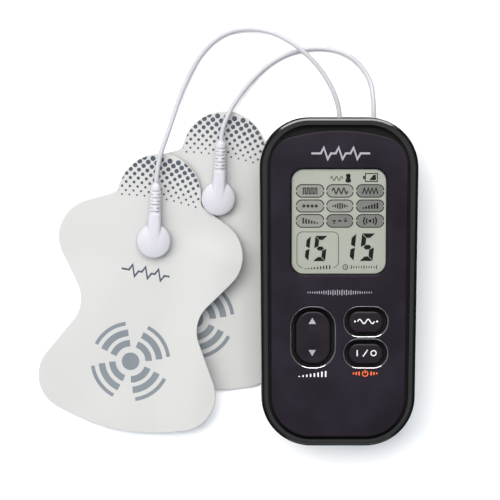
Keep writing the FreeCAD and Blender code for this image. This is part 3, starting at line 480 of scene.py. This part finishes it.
LEAD_A = [
    (0.85, 55.7, 7.0), (0.85, 60.3, 7.0), (-4.6, 71.6, 5.9), (-13.5, 80.5, 5.9), (-24.0, 86.2, 3.2),
    (-36.6, 86.4, 0.845), (-46.4, 79.6, 0.845), (-53.6, 66.0, 1.2), (-57.8, 52.6, 4.0),
    (-62.26, 40.17, 6.15), (-62.59, 33.18, 6.15),
]
LEAD_B = [
    (12.75, 55.7, 7.0), (12.75, 60.3, 7.0), (11.8, 69.6, 2.6), (4.2, 78.2, 0.845), (-8.5, 80.3, 0.845),
    (-20.8, 76.6, 0.845), (-31.0, 67.6, 1.6), (-39.81, 53.87, 4.25), (-40.09, 47.88, 4.25),
]
LEADS = {}
for letter, points in (("a", LEAD_A), ("b", LEAD_B)):
    line = spline_line(f"lead_{letter}_line", points)
    LEADS[letter] = (lead_tube(f"lead_{letter}_insulation", line, LEAD_D / 2 * MM), line, points)


# ------------------------------------------------------------------ CAD nodes that stay, with their finishes
SLOT_OF = {row["node"]: row["material_slot"] for row in frame["record"]["subparts"]}
for node, obj in NODES.items():
    obj.data.materials.clear()
    obj.data.materials.append(M[SLOT_OF[node]])


# ------------------------------------------------------------------ face panel
def panel_circles():
    end = CASE_H / 2 - CASE_R
    top_y, top_half, crown_r, top_r = 51.7, 23.3, 60.0, 9.5
    crown_y, x = top_y - crown_r, top_half - top_r
    y = crown_y + math.sqrt((crown_r - top_r) ** 2 - x ** 2)
    low = (CASE_BOTTOM_W / 2 - CASE_R, -end, CASE_R - 3.45, 1)
    return mirrored([low, (x, y, top_r, 1), (0.0, crown_y, crown_r, 1)])


def drilled_plate(name, outer, holes, low, high, edge, steps, mat, body):
    """A flat plate with holes, whose top edges are all rounded off."""
    bm = bmesh.new()
    turns = [math.pi / 2 * k / steps for k in range(steps + 1)]
    profile = [(0.0, low)] + [(-edge * (1 - math.cos(t)), high - edge + edge * math.sin(t)) for t in turns]
    tops, bottoms, edges, points = [], [], [], []
    for rounds, side in [(outer, 1)] + [(hole, -1) for hole in holes]:
        loops = [(outline(rounds, side * grow, 5.0), z) for grow, z in profile]
        skin(bm, loops, still, cap_low=False, cap_high=False)
        tops.append(loops[-1][0])
        bottoms.append(loops[0][0])
    for layer, z in ((tops, high), (bottoms, low)):
        points, edges, first = [], [], 0
        for loop in layer:
            points += [Vector(p) for p in loop]
            edges += [(first + i, first + (i + 1) % len(loop)) for i in range(len(loop))]
            first += len(loop)
        made = delaunay_2d_cdt(points, edges, [], 1, 1e-6)
        verts = [bm.verts.new((p.x, p.y, z)) for p in made[0]]
        for face in made[2]:
            middle = sum((made[0][i] for i in face), Vector((0.0, 0.0))) / len(face)
            if not any(inside(middle, hole) for hole in layer[1:]):
                bm.faces.new([verts[i] for i in face])
    return finish_mesh(name, bm, mat, body, sharp=50.0)


wells = [rounded(*key[:2], key[2] + 2 * WELL_MARGIN, key[3] + 2 * WELL_MARGIN, key[4] + WELL_MARGIN)
         for key in (ROCKER, MODE, POWER)]
window_hole = rounded(WINDOW[0], WINDOW[1], WINDOW[2] + 0.2, WINDOW[3] + 0.2, WINDOW[4] + 0.1)
EDGE = material("panel_well_edge", linear(208, 206, 210), 0.12, vary=0.1, grain=(4000.0, 0.03),
                wear=0.04, metal=0.85)
panel = drilled_plate("face_panel_moulding", panel_circles(), [window_hole] + wells, PANEL_LOW, CASE_D,
                      0.4, 5, M["panel_print"], "main_unit")
panel.data.materials.append(EDGE)
for face in panel.data.polygons:
    at_keys = abs(face.center.x) < 0.0225 and -0.032 < face.center.y < -0.006
    face.material_index = 1 if at_keys and abs(face.normal.z) < 0.985 else 0
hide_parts("face_panel")


# ------------------------------------------------------------------ printed marks
class Print:
    """Flat ink shapes in mm that stand a hair above a surface."""

    def __init__(self, name, mat, body, slot, z, drape=None):
        self.bm = bmesh.new()
        self.facts = (name, mat, body, slot)
        self.z = z
        self.drape = drape

    def shape(self, points, thick=0.03):
        place = self.drape or still
        top = [self.bm.verts.new(place(x, y, self.z)) for x, y in points]
        low = [self.bm.verts.new(place(x, y, self.z - thick)) for x, y in points]
        self.bm.faces.new(top)
        self.bm.faces.new(list(reversed(low)))
        for i in range(len(points)):
            j = (i + 1) % len(points)
            self.bm.faces.new((low[i], low[j], top[j], top[i]))

    def disc(self, x, y, r, sides=20):
        self.shape([(x + r * math.cos(2 * math.pi * k / sides), y + r * math.sin(2 * math.pi * k / sides))
                    for k in range(sides)])

    def line(self, points, width, closed=False):
        """A stroke of even width, mitred at its corners."""
        count = len(points)
        left, right = [], []
        for i in range(count):
            here = complex(*points[i])
            before = complex(*points[i - 1]) if i or closed else None
            after = complex(*points[(i + 1) % count]) if i < count - 1 or closed else None
            go_in = (here - before) / abs(here - before) if before is not None else None
            go_out = (after - here) / abs(after - here) if after is not None else None
            go_in = go_out if go_in is None else go_in
            go_out = go_in if go_out is None else go_out
            middle = (go_in + go_out) / max(abs(go_in + go_out), 1e-9)
            reach = width / 2 / max((middle / go_in).real, 0.5)
            left.append(here + 1j * middle * reach)
            right.append(here - 1j * middle * reach)
        for i in range(count if closed else count - 1):
            j = (i + 1) % count
            self.shape([(p.real, p.imag) for p in (right[i], right[j], left[j], left[i])])

    def box(self, x, y, w, h):
        left, right, low, high = x - w / 2, x + w / 2, y - h / 2, y + h / 2
        self.shape([(left, low), (right, low), (right, high), (left, high)])

    def done(self):
        name, mat, body, slot = self.facts
        return finish_mesh(name, self.bm, mat, body, smooth_faces=False)


def arc(x, y, r, start, end, steps=14):
    return [(x + r * math.cos(math.radians(start + (end - start) * k / steps)),
             y + r * math.sin(math.radians(start + (end - start) * k / steps))) for k in range(steps + 1)]


def wave(x0, x1, y, rise, turns, steps=12):
    n = int(turns * steps)
    return [(x0 + (x1 - x0) * k / n, y + rise * math.sin(2 * math.pi * turns * k / n)) for k in range(n + 1)]


def pulses(x0, x1, y0, y1, count):
    """A square pulse train from x0 to x1."""
    pitch = (x1 - x0) / count
    points = []
    for k in range(count):
        a = x0 + pitch * k
        points += [(a, y0), (a + pitch * 0.25, y0), (a + pitch * 0.25, y1), (a + pitch * 0.75, y1),
                   (a + pitch * 0.75, y0)]
    return points + [(x1, y0)]


def zigzag(x0, x1, y0, y1, count):
    pitch = (x1 - x0) / count
    points = []
    for k in range(count):
        a = x0 + pitch * k
        points += [(a, y0), (a + pitch / 2, y1)]
    return points + [(x1, y0)]


def heartbeat(x0, x1, first, pitch, y, up, down):
    """A level line from x0 to x1 with three beats, the first of them at first."""
    points = [(x0, y)]
    for k in range(3):
        x = first + pitch * k
        points += [(x, y), (x + 1.0, y + up), (x + 2.3, y - down), (x + 3.4, y)]
    return points + [(x1, y)]


INK_Z = CASE_D + 0.025
mark = Print("panel_pulse_mark", INK_SILVER, "main_unit", "panel_print", INK_Z)
mark.line(heartbeat(-9.4, 10.4, -6.2, 5.0, 44.05, 1.95, 1.95), 0.68)
mark.done()

caption = Print("panel_caption_bars", INK_GREY, "main_unit", "panel_print", INK_Z)
for k in range(29):
    x = -10.4 + 0.767 * k
    tall = 0.5 + 1.5 * math.sin(math.pi * (k + 0.5) / 29) ** 2 * (1.0 if k % 2 else 0.62)
    caption.box(x, -3.1, 0.26, tall)
caption.done()

label = Print("rocker_level_label", INK_WHITE, "main_unit", "panel_print", INK_Z)
for k in range(8):
    label.box(-13.3 + 1.28 * k, -32.0 + (0.35 + 0.24 * k) / 2, 0.5, 0.35 + 0.24 * k)
label.done()

power = Print("power_label", INK_ORANGE, "main_unit", "panel_print", INK_Z)
power.line(arc(9.1, -30.85, 0.92, 120, 420, 20), 0.34)
power.line([(9.1, -30.75), (9.1, -29.55)], 0.34)
for side in (-1, 1):
    for k in range(3):
        power.box(9.1 + side * (2.05 + 0.95 * k), -30.8, 0.5, 1.3 - 0.35 * k)
power.done()


# ------------------------------------------------------------------ keys
def rocker_top(x, y):
    """Depth of the two shallow finger dimples of the rocker."""
    deep = 0.0
    for cy in (-12.95, -23.95):
        deep += 0.5 * math.exp(-((x - ROCKER[0]) ** 2 + (y - cy) ** 2) / 2.1 ** 2 / 1.6)
    return deep


def crown(key, rise):
    """A face's height over its rim: most in the middle, none at the edge."""
    x0, y0, w, h, r = key

    def height(x, y):
        across, along = 1 - ((x - x0) / (w / 2)) ** 2, 1 - ((y - y0) / (h / 2)) ** 2
        return rise * max(0.0, across) * max(0.0, along)

    return height


def key_cap(name, key, low, body, node, lift):
    """A key whose top edge rolls over and whose face follows lift(x, y)."""
    bm = bmesh.new()
    edge = 0.62
    turns = [math.pi / 2 * k / 6 for k in range(7)]
    loops = [(key_outline(key), low), (key_outline(key), KEY_TOP - edge - 1.2)]
    loops += [(key_outline(key, -edge * (1 - math.cos(t))), KEY_TOP - edge + edge * math.sin(t))
              for t in turns]

    def shape(x, y, z):
        share = smooth((z - KEY_TOP + edge) / edge)
        return (x, y, z + share * lift(x, y))

    skin(bm, loops, shape, pitch=0.55)
    obj = finish_mesh(name, bm, M["key_dark"], body, sharp=70.0)
    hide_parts(node)
    return obj


def rocker_face(x, y):
    return crown(ROCKER, 0.12)(x, y) - rocker_top(x, y)


key_cap("intensity_rocker_cap", ROCKER, 20.7, "intensity_rocker", "intensity_key", rocker_face)
key_cap("mode_key_cap", MODE, 20.8, "mode_button", "mode_key", crown(MODE, 0.1))
key_cap("power_key_cap", POWER, 20.8, "power_button", "power_key", crown(POWER, 0.1))

arrows = Print("rocker_arrows", INK_GREY, "intensity_rocker", "key_dark", KEY_TOP + 0.03,
               lambda x, y, z: (x, y, z + rocker_face(x, y)))
for cy, way in ((-12.8, 1), (-23.8, -1)):
    tip, base = cy + way * 1.05, cy - way * 1.05
    for side in (-1, 1):
        for k in range(3):
            y0, y1 = tip + (base - tip) * k / 3, tip + (base - tip) * (k + 1) / 3
            w0, w1 = 1.25 * k / 3, 1.25 * (k + 1) / 3
            x = -8.93
            row = [(x, y0), (x + side * w0, y0), (x + side * w1, y1), (x, y1)]
            arrows.shape(row if k else row[1:])
arrows.done()

mode_mark = Print("mode_key_mark", INK_WHITE, "mode_button", "key_dark", KEY_TOP + 0.03,
                  lambda x, y, z: (x, y, z + crown(MODE, 0.1)(x, y)))
mode_mark.line(wave(6.4, 12.2, -12.95, 0.72, 2.0), 0.36)
for side in (-1, 1):
    mode_mark.disc(9.3 + side * 3.75, -12.95, 0.32)
mode_mark.done()

power_mark = Print("power_key_mark", INK_WHITE, "power_button", "key_dark", KEY_TOP + 0.03,
                   lambda x, y, z: (x, y, z + crown(POWER, 0.1)(x, y)))
power_mark.line([(6.35, -24.85), (6.35, -22.75)], 0.36)
power_mark.line([(8.3, -24.95), (9.9, -22.65)], 0.34)
power_mark.line(arc(11.9, -23.8, 0.88, 0, 345, 24), 0.36, closed=True)
power_mark.done()


# ------------------------------------------------------------------ display
LCD_INK = LCD_TOP + 0.03
fields = {
    "pale": Print("lcd_fields_pale", LCD_PALE, "main_unit", "lcd", LCD_TOP + 0.012),
    "dark": Print("lcd_fields_dark", LCD_FIELD, "main_unit", "lcd", LCD_TOP + 0.012),
}
dark = Print("lcd_segments", LCD_DARK, "main_unit", "lcd", LCD_INK)
mid = Print("lcd_segments_faint", LCD_MID, "main_unit", "lcd", LCD_INK)


def pill(x0, x1, y0, y1, field, ink):
    x, y, w, h = (x0 + x1) / 2, (y0 + y1) / 2, x1 - x0, y1 - y0
    fields[field].shape(outline(rounded(x, y, w, h, h * 0.46), -0.32, 12.0))
    ring = outline(rounded(x, y, w, h, h * 0.46), -0.17, 12.0)
    for side in (-1, 1):
        half = [p for p in ring if side * (p[1] - y) > 0.28]
        half.sort(key=lambda p: p[0])
        ends = [(half[0][0], y + side * 0.28), (half[-1][0], y + side * 0.28)]
        ink.line([ends[0]] + half + [ends[1]], 0.33)


def icon(kind, x, y, ink):
    w, h = 2.6, 0.95
    if kind == "square":
        ink.line(pulses(x - w, x + w, y - h, y + h, 4), 0.42)
    elif kind == "sine":
        ink.line(wave(x - w, x + w, y, h, 3.0), 0.46)
    elif kind == "zigzag":
        ink.line(zigzag(x - w, x + w, y - h, y + h, 4), 0.5)
    elif kind == "up":
        for k in range(6):
            ink.box(x - w + 0.3 + 0.95 * k, y - h + (0.5 + 0.3 * k) / 2, 0.6, 0.5 + 0.3 * k)
    elif kind == "down":
        for k in range(6):
            ink.box(x - w + 0.3 + 0.95 * k, y - h + (2.0 - 0.3 * k) / 2, 0.6, 2.0 - 0.3 * k)
    elif kind == "burst":
        for k in range(7):
            tall = 0.5 + 1.6 * math.sin(math.pi * (k + 0.5) / 7) ** 2
            ink.box(x - w + 0.3 + 0.78 * k, y, 0.52, tall)
    elif kind == "dots":
        for k in range(4):
            ink.disc(x - 2.1 + 1.4 * k, y, 0.56)
    elif kind == "spread":
        ink.disc(x, y, 0.5)
        for side in (0, 180):
            for r in (1.25, 2.15):
                ink.line(arc(x, y, r, side - 42 + (4 if r > 2 else 0), side + 42 - (4 if r > 2 else 0)), 0.46)
    elif kind == "steps":
        for k in range(3):
            ink.box(x - 1.9 + 1.9 * k, y, 1.1, 0.5)
            ink.box(x - 1.9 + 1.9 * k, y - 0.75 + 0.75 * k, 0.5, 0.42)


COLUMNS = ((-14.6, -4.9), (-4.3, 5.0), (5.75, 15.4))
ROWS = ((29.0, 33.6), (24.0, 28.4), (18.8, 23.45))
KINDS = (("square", "sine", "zigzag"), ("dots", "burst", "up"), ("down", "steps", "spread"))
DARKER = {(0, 2), (1, 2), (2, 2), (2, 1)}
for r, (y0, y1) in enumerate(ROWS):
    for c, (x0, x1) in enumerate(COLUMNS):
        ink = dark if (r, c) in DARKER else mid
        pill(x0, x1, y0, y1, "dark" if (r, c) in DARKER else "pale", dark)
        icon(KINDS[r][c], (x0 + x1) / 2, (y0 + y1) / 2, ink)

SEGMENTS = {"1": "bc", "5": "afgcd"}


def digit(ink, which, x, y, w, h, t, lean=0.1):
    g = 0.11
    parts = {
        "a": [(g, h), (t + g, h - t), (w - t - g, h - t), (w - g, h)],
        "b": [(w, h - g), (w - t, h - t - g), (w - t, h / 2 + t / 2 + g / 2), (w, h / 2 + g)],
        "c": [(w, h / 2 - g), (w - t, h / 2 - t / 2 - g / 2), (w - t, t + g), (w, g)],
        "d": [(w - g, 0), (w - t - g, t), (t + g, t), (g, 0)],
        "f": [(0, h - g), (0, h / 2 + g), (t, h / 2 + t / 2 + g / 2), (t, h - t - g)],
        "g": [(t / 2 + g, h / 2), (t + g, h / 2 - t / 2), (w - t - g, h / 2 - t / 2), (w - t / 2 - g, h / 2),
              (w - t - g, h / 2 + t / 2), (t + g, h / 2 + t / 2)],
    }
    for part in SEGMENTS[which]:
        ink.shape([(x + px + lean * py, y + py) for px, py in parts[part]])


digit(dark, "1", -13.8, 7.45, 3.5, 8.6, 1.3)
digit(dark, "5", -8.75, 7.45, 4.15, 8.6, 1.4)
digit(dark, "1", 1.1, 7.5, 3.95, 9.4, 1.45)
digit(dark, "5", 7.0, 7.5, 4.5, 9.4, 1.55)

# the thin box round the left number, open at its bottom middle
frame_box = outline(rounded(-7.1, 11.35, 14.1, 12.1, 1.9), 0.0, 10.0)
left_part = [p for p in frame_box if p[0] < -7.1]
right_part = [p for p in frame_box if p[0] >= -7.1]
for part, stop in ((left_part, -12.2), (right_part, -2.1)):
    part = [p for p in part if p[1] > 5.6 or (p[0] < stop if stop < -7 else p[0] > stop)]
    part.sort(key=lambda p: math.atan2(p[1] - 11.35, abs(p[0] + 7.1)))
    part.append((-7.1, 17.4))
    mid.line(part, 0.2)

# the small marks under the numbers: a rising wedge, and a clock with its ticks
for k in range(9):
    dark.box(-11.2 + 1.02 * k, 4.7 + (0.3 + 0.14 * k) / 2, 0.42, 0.3 + 0.14 * k)
dark.line(arc(2.3, 5.4, 0.82, 0, 345, 22), 0.24, closed=True)
dark.line([(2.3, 5.95), (2.3, 5.35), (2.75, 5.1)], 0.2)
for k in range(11):
    dark.box(4.3 + 0.86 * k, 5.4, 0.3, 1.3 if k % 5 == 0 else 0.7)

# the pad mark at the top: a ripple, and an hourglass pad
mid.line(wave(-2.9, 1.3, 35.5, 0.7, 2.5), 0.26)
hourglass = mirrored([(0.35, 34.75, 0.62, 1), (1.0, 35.75, 0.35, -1), (0.3, 36.6, 0.5, 1)])
dark.shape([(x + 3.15, y) for x, y in outline(hourglass, 0.0, 15.0)][::-1])

# the battery sign
dark.line([(8.95, 34.5), (13.0, 34.5), (13.0, 37.2), (8.95, 37.2)], 0.32, closed=True)
dark.box(8.45, 35.85, 0.6, 1.1)
dark.shape([(10.2, 34.95), (12.5, 34.95), (12.5, 36.75), (11.7, 36.75)])
for item in (dark, mid, fields["pale"], fields["dark"]):
    item.done()


# ------------------------------------------------------------------ pads
def pad_lobes():
    """The pad's right half: its end, lower lobe, waist and upper lobe."""
    end_y = PAD_END_Y + PAD_END_R
    lower_y = end_y - math.sqrt((PAD_END_R - PAD_LOWER_R) ** 2 - PAD_LOWER_X ** 2)
    lower = (PAD_LOWER_X, lower_y, PAD_LOWER_R, 1)
    return [(0.0, end_y, PAD_END_R, 1), lower, PAD_WAIST + (-1,), PAD_UPPER + (1,)]


def pad_rounds(tab=True):
    right = pad_lobes()
    if tab:
        reach = PAD_TAB_R + PAD_NECK_R + TOUCH_GAP
        neck_x = math.sqrt(reach ** 2 - PAD_NECK_RISE ** 2)
        right += [(neck_x, PAD_TAB_Y + PAD_NECK_RISE, PAD_NECK_R, -1), (0.0, PAD_TAB_Y, PAD_TAB_R, 1)]
    return [(x + PAD_AXIS_X, y, r, side) for x, y, r, side in mirrored(right)]


PAD_OUTLINE = outline(pad_rounds(), 0.0, 6.0)
PAD_B_PLACE = turned(PAD_OUTLINE, PAD_TURN, STUD_B)


def droop_a(x, y):
    """How far the front pad sinks to the table on its left, where the rear pad isn't under it."""
    if inside((x, y), PAD_B_PLACE):
        return 0.0
    corner = 0.8 * smooth((x + 92.0) / 24.0) * smooth((-18.0 - y) / 20.0)
    far = smooth(gap_to((x, y), PAD_B_PLACE) / 24.0) * (1.0 - corner)
    return 1.85 * far * smooth((math.hypot(x - STUD_A[0], y - STUD_A[1]) - 7.0) / 14.0)


def lift_a(x, y):
    """The front pad's free right side and bottom edge curl up a little; x and y are the pad's own."""
    right = 3.8 * smooth((x - 7.0) / 19.0) * smooth((9.0 - y) / 12.0)
    bottom = 2.0 * smooth((-46.0 - y) / 20.0) * smooth((x + 20.0) / 18.0)
    return math.hypot(right, bottom)


def lay_a(x, y, z):
    c, s = math.cos(PAD_TURN), math.sin(PAD_TURN)
    wx, wy = x * c - y * s + STUD_A[0], x * s + y * c + STUD_A[1]
    return (wx, wy, PAD_A_Z + z - droop_a(wx, wy) + lift_a(x, y))


def lay_b(x, y, z):
    c, s = math.cos(PAD_TURN), math.sin(PAD_TURN)
    return (x * c - y * s + STUD_B[0], x * s + y * c + STUD_B[1], PAD_B_Z + z)


def pad_layer(name, rounds, grow, low, high, edge, lay, mat, node):
    """One sheet of a pad, with its cut edge rounded by edge."""
    bm = bmesh.new()
    loops = [(outline(rounds, grow - 0.04), low), (outline(rounds, grow), low + 0.05)]
    for k in range(4):
        t = math.pi / 2 * k / 3
        loops.append((outline(rounds, grow - edge * (1 - math.cos(t))), high - edge + edge * math.sin(t)))
    loops.append((outline(rounds, grow - edge - 0.25), high))
    skin(bm, loops, lay, pitch=2.2)
    obj = finish_mesh(name, bm, mat, "electrode_cord", sharp=60.0)
    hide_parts(node)
    return obj


def area(loop):
    return abs(sum(a[0] * b[1] - b[0] * a[1] for a, b in zip(loop, loop[1:] + loop[:1]))) / 2


for letter, lay in (("a", lay_a), ("b", lay_b)):
    pad_layer(f"pad_{letter}_cover", pad_rounds(), 0.0, 1.0, 1.5, 0.3, lay, M["pad_cover"],
                               f"pad_{letter}_top_sheet")
    pad_layer(f"pad_{letter}_film", pad_rounds(False), -2.0, 0.8, 1.0, 0.08, lay, M["carbon"],
              f"pad_{letter}_conductor")
    pad_layer(f"pad_{letter}_hydrogel", pad_rounds(False), -1.2, 0.0, 0.8, 0.3, lay, M["gel"],
              f"pad_{letter}_gel")


def tab_dots(dots):
    """Rows of ink dots on the tab, larger towards its end, cut off just inside the tab's edge."""
    row_r, row_gap, column_gap, edge_r = 92.0, 1.48, 2.62, PAD_TAB_R - 0.3
    x0, y0 = -0.8, 15.0 - row_r
    for row in range(10):
        r, size = row_r + row_gap * row, 0.33 + 0.064 * row
        for k in range(-7, 8):
            a = (k + (0.5 if row % 2 else 0.0)) * column_gap / row_r
            x, y = x0 + r * math.sin(a), y0 + r * math.cos(a)
            points = []
            for n in range(18):
                px = x + size * math.cos(2 * math.pi * n / 18) - PAD_AXIS_X
                py = y + size * math.sin(2 * math.pi * n / 18) - PAD_TAB_Y
                share = min(1.0, edge_r / math.hypot(px, py))
                points.append((PAD_AXIS_X + px * share, PAD_TAB_Y + py * share))
            if math.hypot(x - PAD_AXIS_X, y - PAD_TAB_Y) < PAD_TAB_R - 0.1 and area(points) > 0.05:
                dots.shape(points)


def pad_print(letter, lay):
    name = f"pad_{letter}"
    dots = Print(f"{name}_tab_dots", INK_SLATE, "electrode_cord", "pad_cover", PAD_T + 0.04, lay)
    tab_dots(dots)
    dots.done()
    line = Print(f"{name}_pulse_mark", INK_SLATE, "electrode_cord", "pad_cover", PAD_T + 0.04, lay)
    line.line(heartbeat(-9.6, 7.4, -7.0, 4.6, -11.6, 1.9, 2.0), 0.66)
    line.done()
    rings = Print(f"{name}_spread_mark", INK_SOFT, "electrode_cord", "pad_cover", PAD_T + 0.04, lay)
    cx, cy = -1.0, -43.4
    rings.disc(cx, cy, 3.1, 36)
    for r, wide, width in ((6.4, 62, 2.3), (10.1, 56, 2.3), (13.4, 50, 1.3)):
        for side in (0, 90, 180, 270):
            half = wide / 2 + 3
            rings.line(arc(cx, cy, r, side + 45 - half, side + 45 + half, 16), width)
    rings.done()


pad_print("a", lay_a)
pad_print("b", lay_b)


# ------------------------------------------------------------------ snap connectors
def evaluated(obj):
    bpy.context.view_layer.update()
    return bpy.data.meshes.new_from_object(obj.evaluated_get(bpy.context.evaluated_depsgraph_get()))


def snap_shape():
    """The connector's moulding in its own frame, in mm: a domed disc with the cable stem blended in."""
    bm = bmesh.new()
    disc = [(5.7, 0.0), (5.95, 0.12), (5.98, 0.5), (5.98, 2.4), (5.8, 2.95), (5.3, 3.32), (4.3, 3.7),
            (3.2, 4.0), (2.0, 4.18), (0.9, 4.26)]
    sides = 64
    rings = [[bm.verts.new((r * math.cos(2 * math.pi * k / sides), r * math.sin(2 * math.pi * k / sides), z))
              for k in range(sides)] for r, z in disc]
    stack(bm, rings)
    stem = []
    for y, half, top, low in ((-1.6, 1.9, 4.1, 1.2), (-0.6, 2.15, 4.32, 0.9), (1.5, 2.3, 4.4, 0.6),
                              (5.0, 2.35, 4.42, 0.5), (9.6, 2.2, 4.35, 0.55)):
        ring = []
        for k in range(24):
            a = 2 * math.pi * k / 24
            cx, cz = math.cos(a), math.sin(a)
            px = math.copysign(abs(cx) ** 0.62, cx) * half
            pz = (top + low) / 2 + math.copysign(abs(cz) ** 0.62, cz) * (top - low) / 2
            ring.append(bm.verts.new((px, y, pz)))
        stem.append(ring)
    stack(bm, stem)
    bmesh.ops.recalc_face_normals(bm, faces=bm.faces)
    mesh = bpy.data.meshes.new("snap_draft")
    bm.to_mesh(mesh)
    bm.free()
    draft = bpy.data.objects.new("snap_draft", mesh)
    SCENE.collection.objects.link(draft)
    remesh = draft.modifiers.new("voxels", "REMESH")
    remesh.mode = "VOXEL"
    remesh.voxel_size = 0.17
    smoother = draft.modifiers.new("soften", "SMOOTH")
    smoother.factor = 0.5
    smoother.iterations = 9
    made = evaluated(draft)
    bpy.data.objects.remove(draft)
    return made


def boot_shape(bm):
    """The ribbed strain relief in the connector's frame, from y 9.3 to its tip."""
    start, end, sides = 9.3, 20.4, 36
    slots = [10.35 + 1.18 * k for k in range(7)]
    rings = []
    for i in range(112):
        y = start + (end - start) * i / 111
        t = (y - start) / (end - start)
        half_w = 2.05 - 0.35 * t if t < 0.86 else 1.75 - 0.7 * smooth((t - 0.86) / 0.14)
        half_h = 1.85 - 0.45 * t if t < 0.86 else 1.46 - 0.4 * smooth((t - 0.86) / 0.14)
        ring = []
        for k in range(sides):
            a = 2 * math.pi * k / sides
            cut = 0.0
            for n, s in enumerate(slots):
                near = smooth(1.0 - abs(y - s) / 0.36)
                if n % 2 == 0:
                    reach = smooth((abs(math.sin(a)) - 0.28) / 0.3)
                else:
                    reach = smooth((abs(math.cos(a)) - 0.3) / 0.2) * smooth((1.02 - abs(math.cos(a))) / 0.15)
                cut = max(cut, near * reach)
            r = 1.0 - 0.34 * cut
            ring.append(bm.verts.new((half_w * r * math.cos(a), y, 2.45 + half_h * r * math.sin(a))))
        rings.append(ring)
    stack(bm, rings)


SNAP_MESH = snap_shape()
for letter, stud, pad_z in (("a", STUD_A, PAD_A_Z), ("b", STUD_B, PAD_B_Z)):
    body = f"connector_{letter}"
    place = Matrix.Translation((stud[0], stud[1], pad_z + PAD_T + SNAP_LIFT))
    place = place @ Matrix.Rotation(SNAP_TURN, 4, "Z")
    bm = bmesh.new()
    bm.from_mesh(SNAP_MESH)
    bmesh.ops.transform(bm, matrix=place, verts=bm.verts)
    moulding = finish_mesh(f"{body}_moulding", bm, M["snap_white"], body, sharp=80.0)
    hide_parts(f"{body}_housing")
    bm = bmesh.new()
    boot_shape(bm)
    bmesh.ops.transform(bm, matrix=place, verts=bm.verts)
    boot = finish_mesh(f"{body}_boot", bm, M["boot_white"], body, sharp=80.0)
    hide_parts(f"{body}_strain_relief")
    tube, line, points = LEADS[letter]
    tip = Vector(points[-1]) * MM
    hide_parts(f"lead_{letter}")
    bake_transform(tube)
bpy.data.meshes.remove(SNAP_MESH)

# ------------------------------------------------------------------ floor and light
bm = bmesh.new()
for x, y in ((-1, -1), (1, -1), (1, 1), (-1, 1)):
    bm.verts.new((x * 6000.0, y * 6000.0, -0.03))
bm.faces.new(bm.verts)
floor_mat = material("studio_floor", linear(246, 246, 247), 0.9, vary=0.004, grain=(300.0, 0.01),
                     specular=0.1, scale=8.0)
floor = finish_mesh("floor", bm, floor_mat, smooth_faces=False)
floor.visible_glossy = False


def softbox(name, place, aim, w, h, watts, color=(1.0, 1.0, 1.0)):
    lamp = bpy.data.lights.new(name, "AREA")
    lamp.shape = "RECTANGLE"
    lamp.size, lamp.size_y = w, h
    lamp.energy = watts
    lamp.color = color
    obj = bpy.data.objects.new(name, lamp)
    obj.location = place
    obj.rotation_mode = "QUATERNION"
    obj.rotation_quaternion = (Vector(aim) - Vector(place)).to_track_quat("-Z", "Y")
    SCENE.collection.objects.link(obj)
    return obj


key_light = softbox("key", (-0.20, 0.44, 0.86), (-0.08, 0.0, 0.0), 1.0, 0.8, 13.2, (1.0, 0.965, 0.925))
fill_left = softbox("fill_left", (-0.80, 0.10, 0.70), (-0.04, 0.0, 0.0), 0.35, 0.5, 3.5, (1.0, 0.97, 0.92))
key_light.visible_glossy = fill_left.visible_glossy = False
softbox("fill_front", (0.05, -0.70, 0.35), (0.0, -0.02, 0.0), 0.7, 0.25, 0.8, (0.98, 0.98, 1.0))
card = softbox("end_card", (-0.02, 0.60, 0.34), (-0.02, 0.0, 0.34), 0.8, 0.8, 12.0, (1.0, 0.99, 0.98))
card.visible_diffuse = False
world = bpy.data.worlds.new("studio")
world.use_nodes = True
tree = world.node_tree
sky = tree.nodes["Background"]
sky.inputs["Color"].default_value = (0.84, 0.92, 1.0, 1.0)
sky.inputs["Strength"].default_value = 0.62
mirrored_sky = tree.nodes.new("ShaderNodeBackground")
facing = tree.nodes.new("ShaderNodeTexCoord")
split = tree.nodes.new("ShaderNodeSeparateXYZ")
ring = tree.nodes.new("ShaderNodeValToRGB")
path = tree.nodes.new("ShaderNodeLightPath")
either = tree.nodes.new("ShaderNodeMixShader")
tree.links.new(facing.outputs["Generated"], split.inputs["Vector"])
tree.links.new(split.outputs["Z"], ring.inputs["Fac"])
tree.links.new(ring.outputs["Color"], mirrored_sky.inputs["Color"])
tree.links.new(path.outputs["Is Glossy Ray"], either.inputs["Fac"])
tree.links.new(sky.outputs["Background"], either.inputs[1])
tree.links.new(mirrored_sky.outputs["Background"], either.inputs[2])
tree.links.new(either.outputs["Shader"], tree.nodes["World Output"].inputs["Surface"])
stops = [(0.0, 0.02), (0.70, 0.03), (0.93, 0.30), (0.975, 0.46), (1.0, 0.46)]
while len(ring.color_ramp.elements) < len(stops):
    ring.color_ramp.elements.new(0.5)
for stop, (place, level) in zip(ring.color_ramp.elements, stops):
    stop.position = place
    stop.color = (level * 0.96, level * 0.97, level, 1.0)
SCENE.world = world
SCENE.view_settings.view_transform = "Standard"
SCENE.view_settings.look = "None"
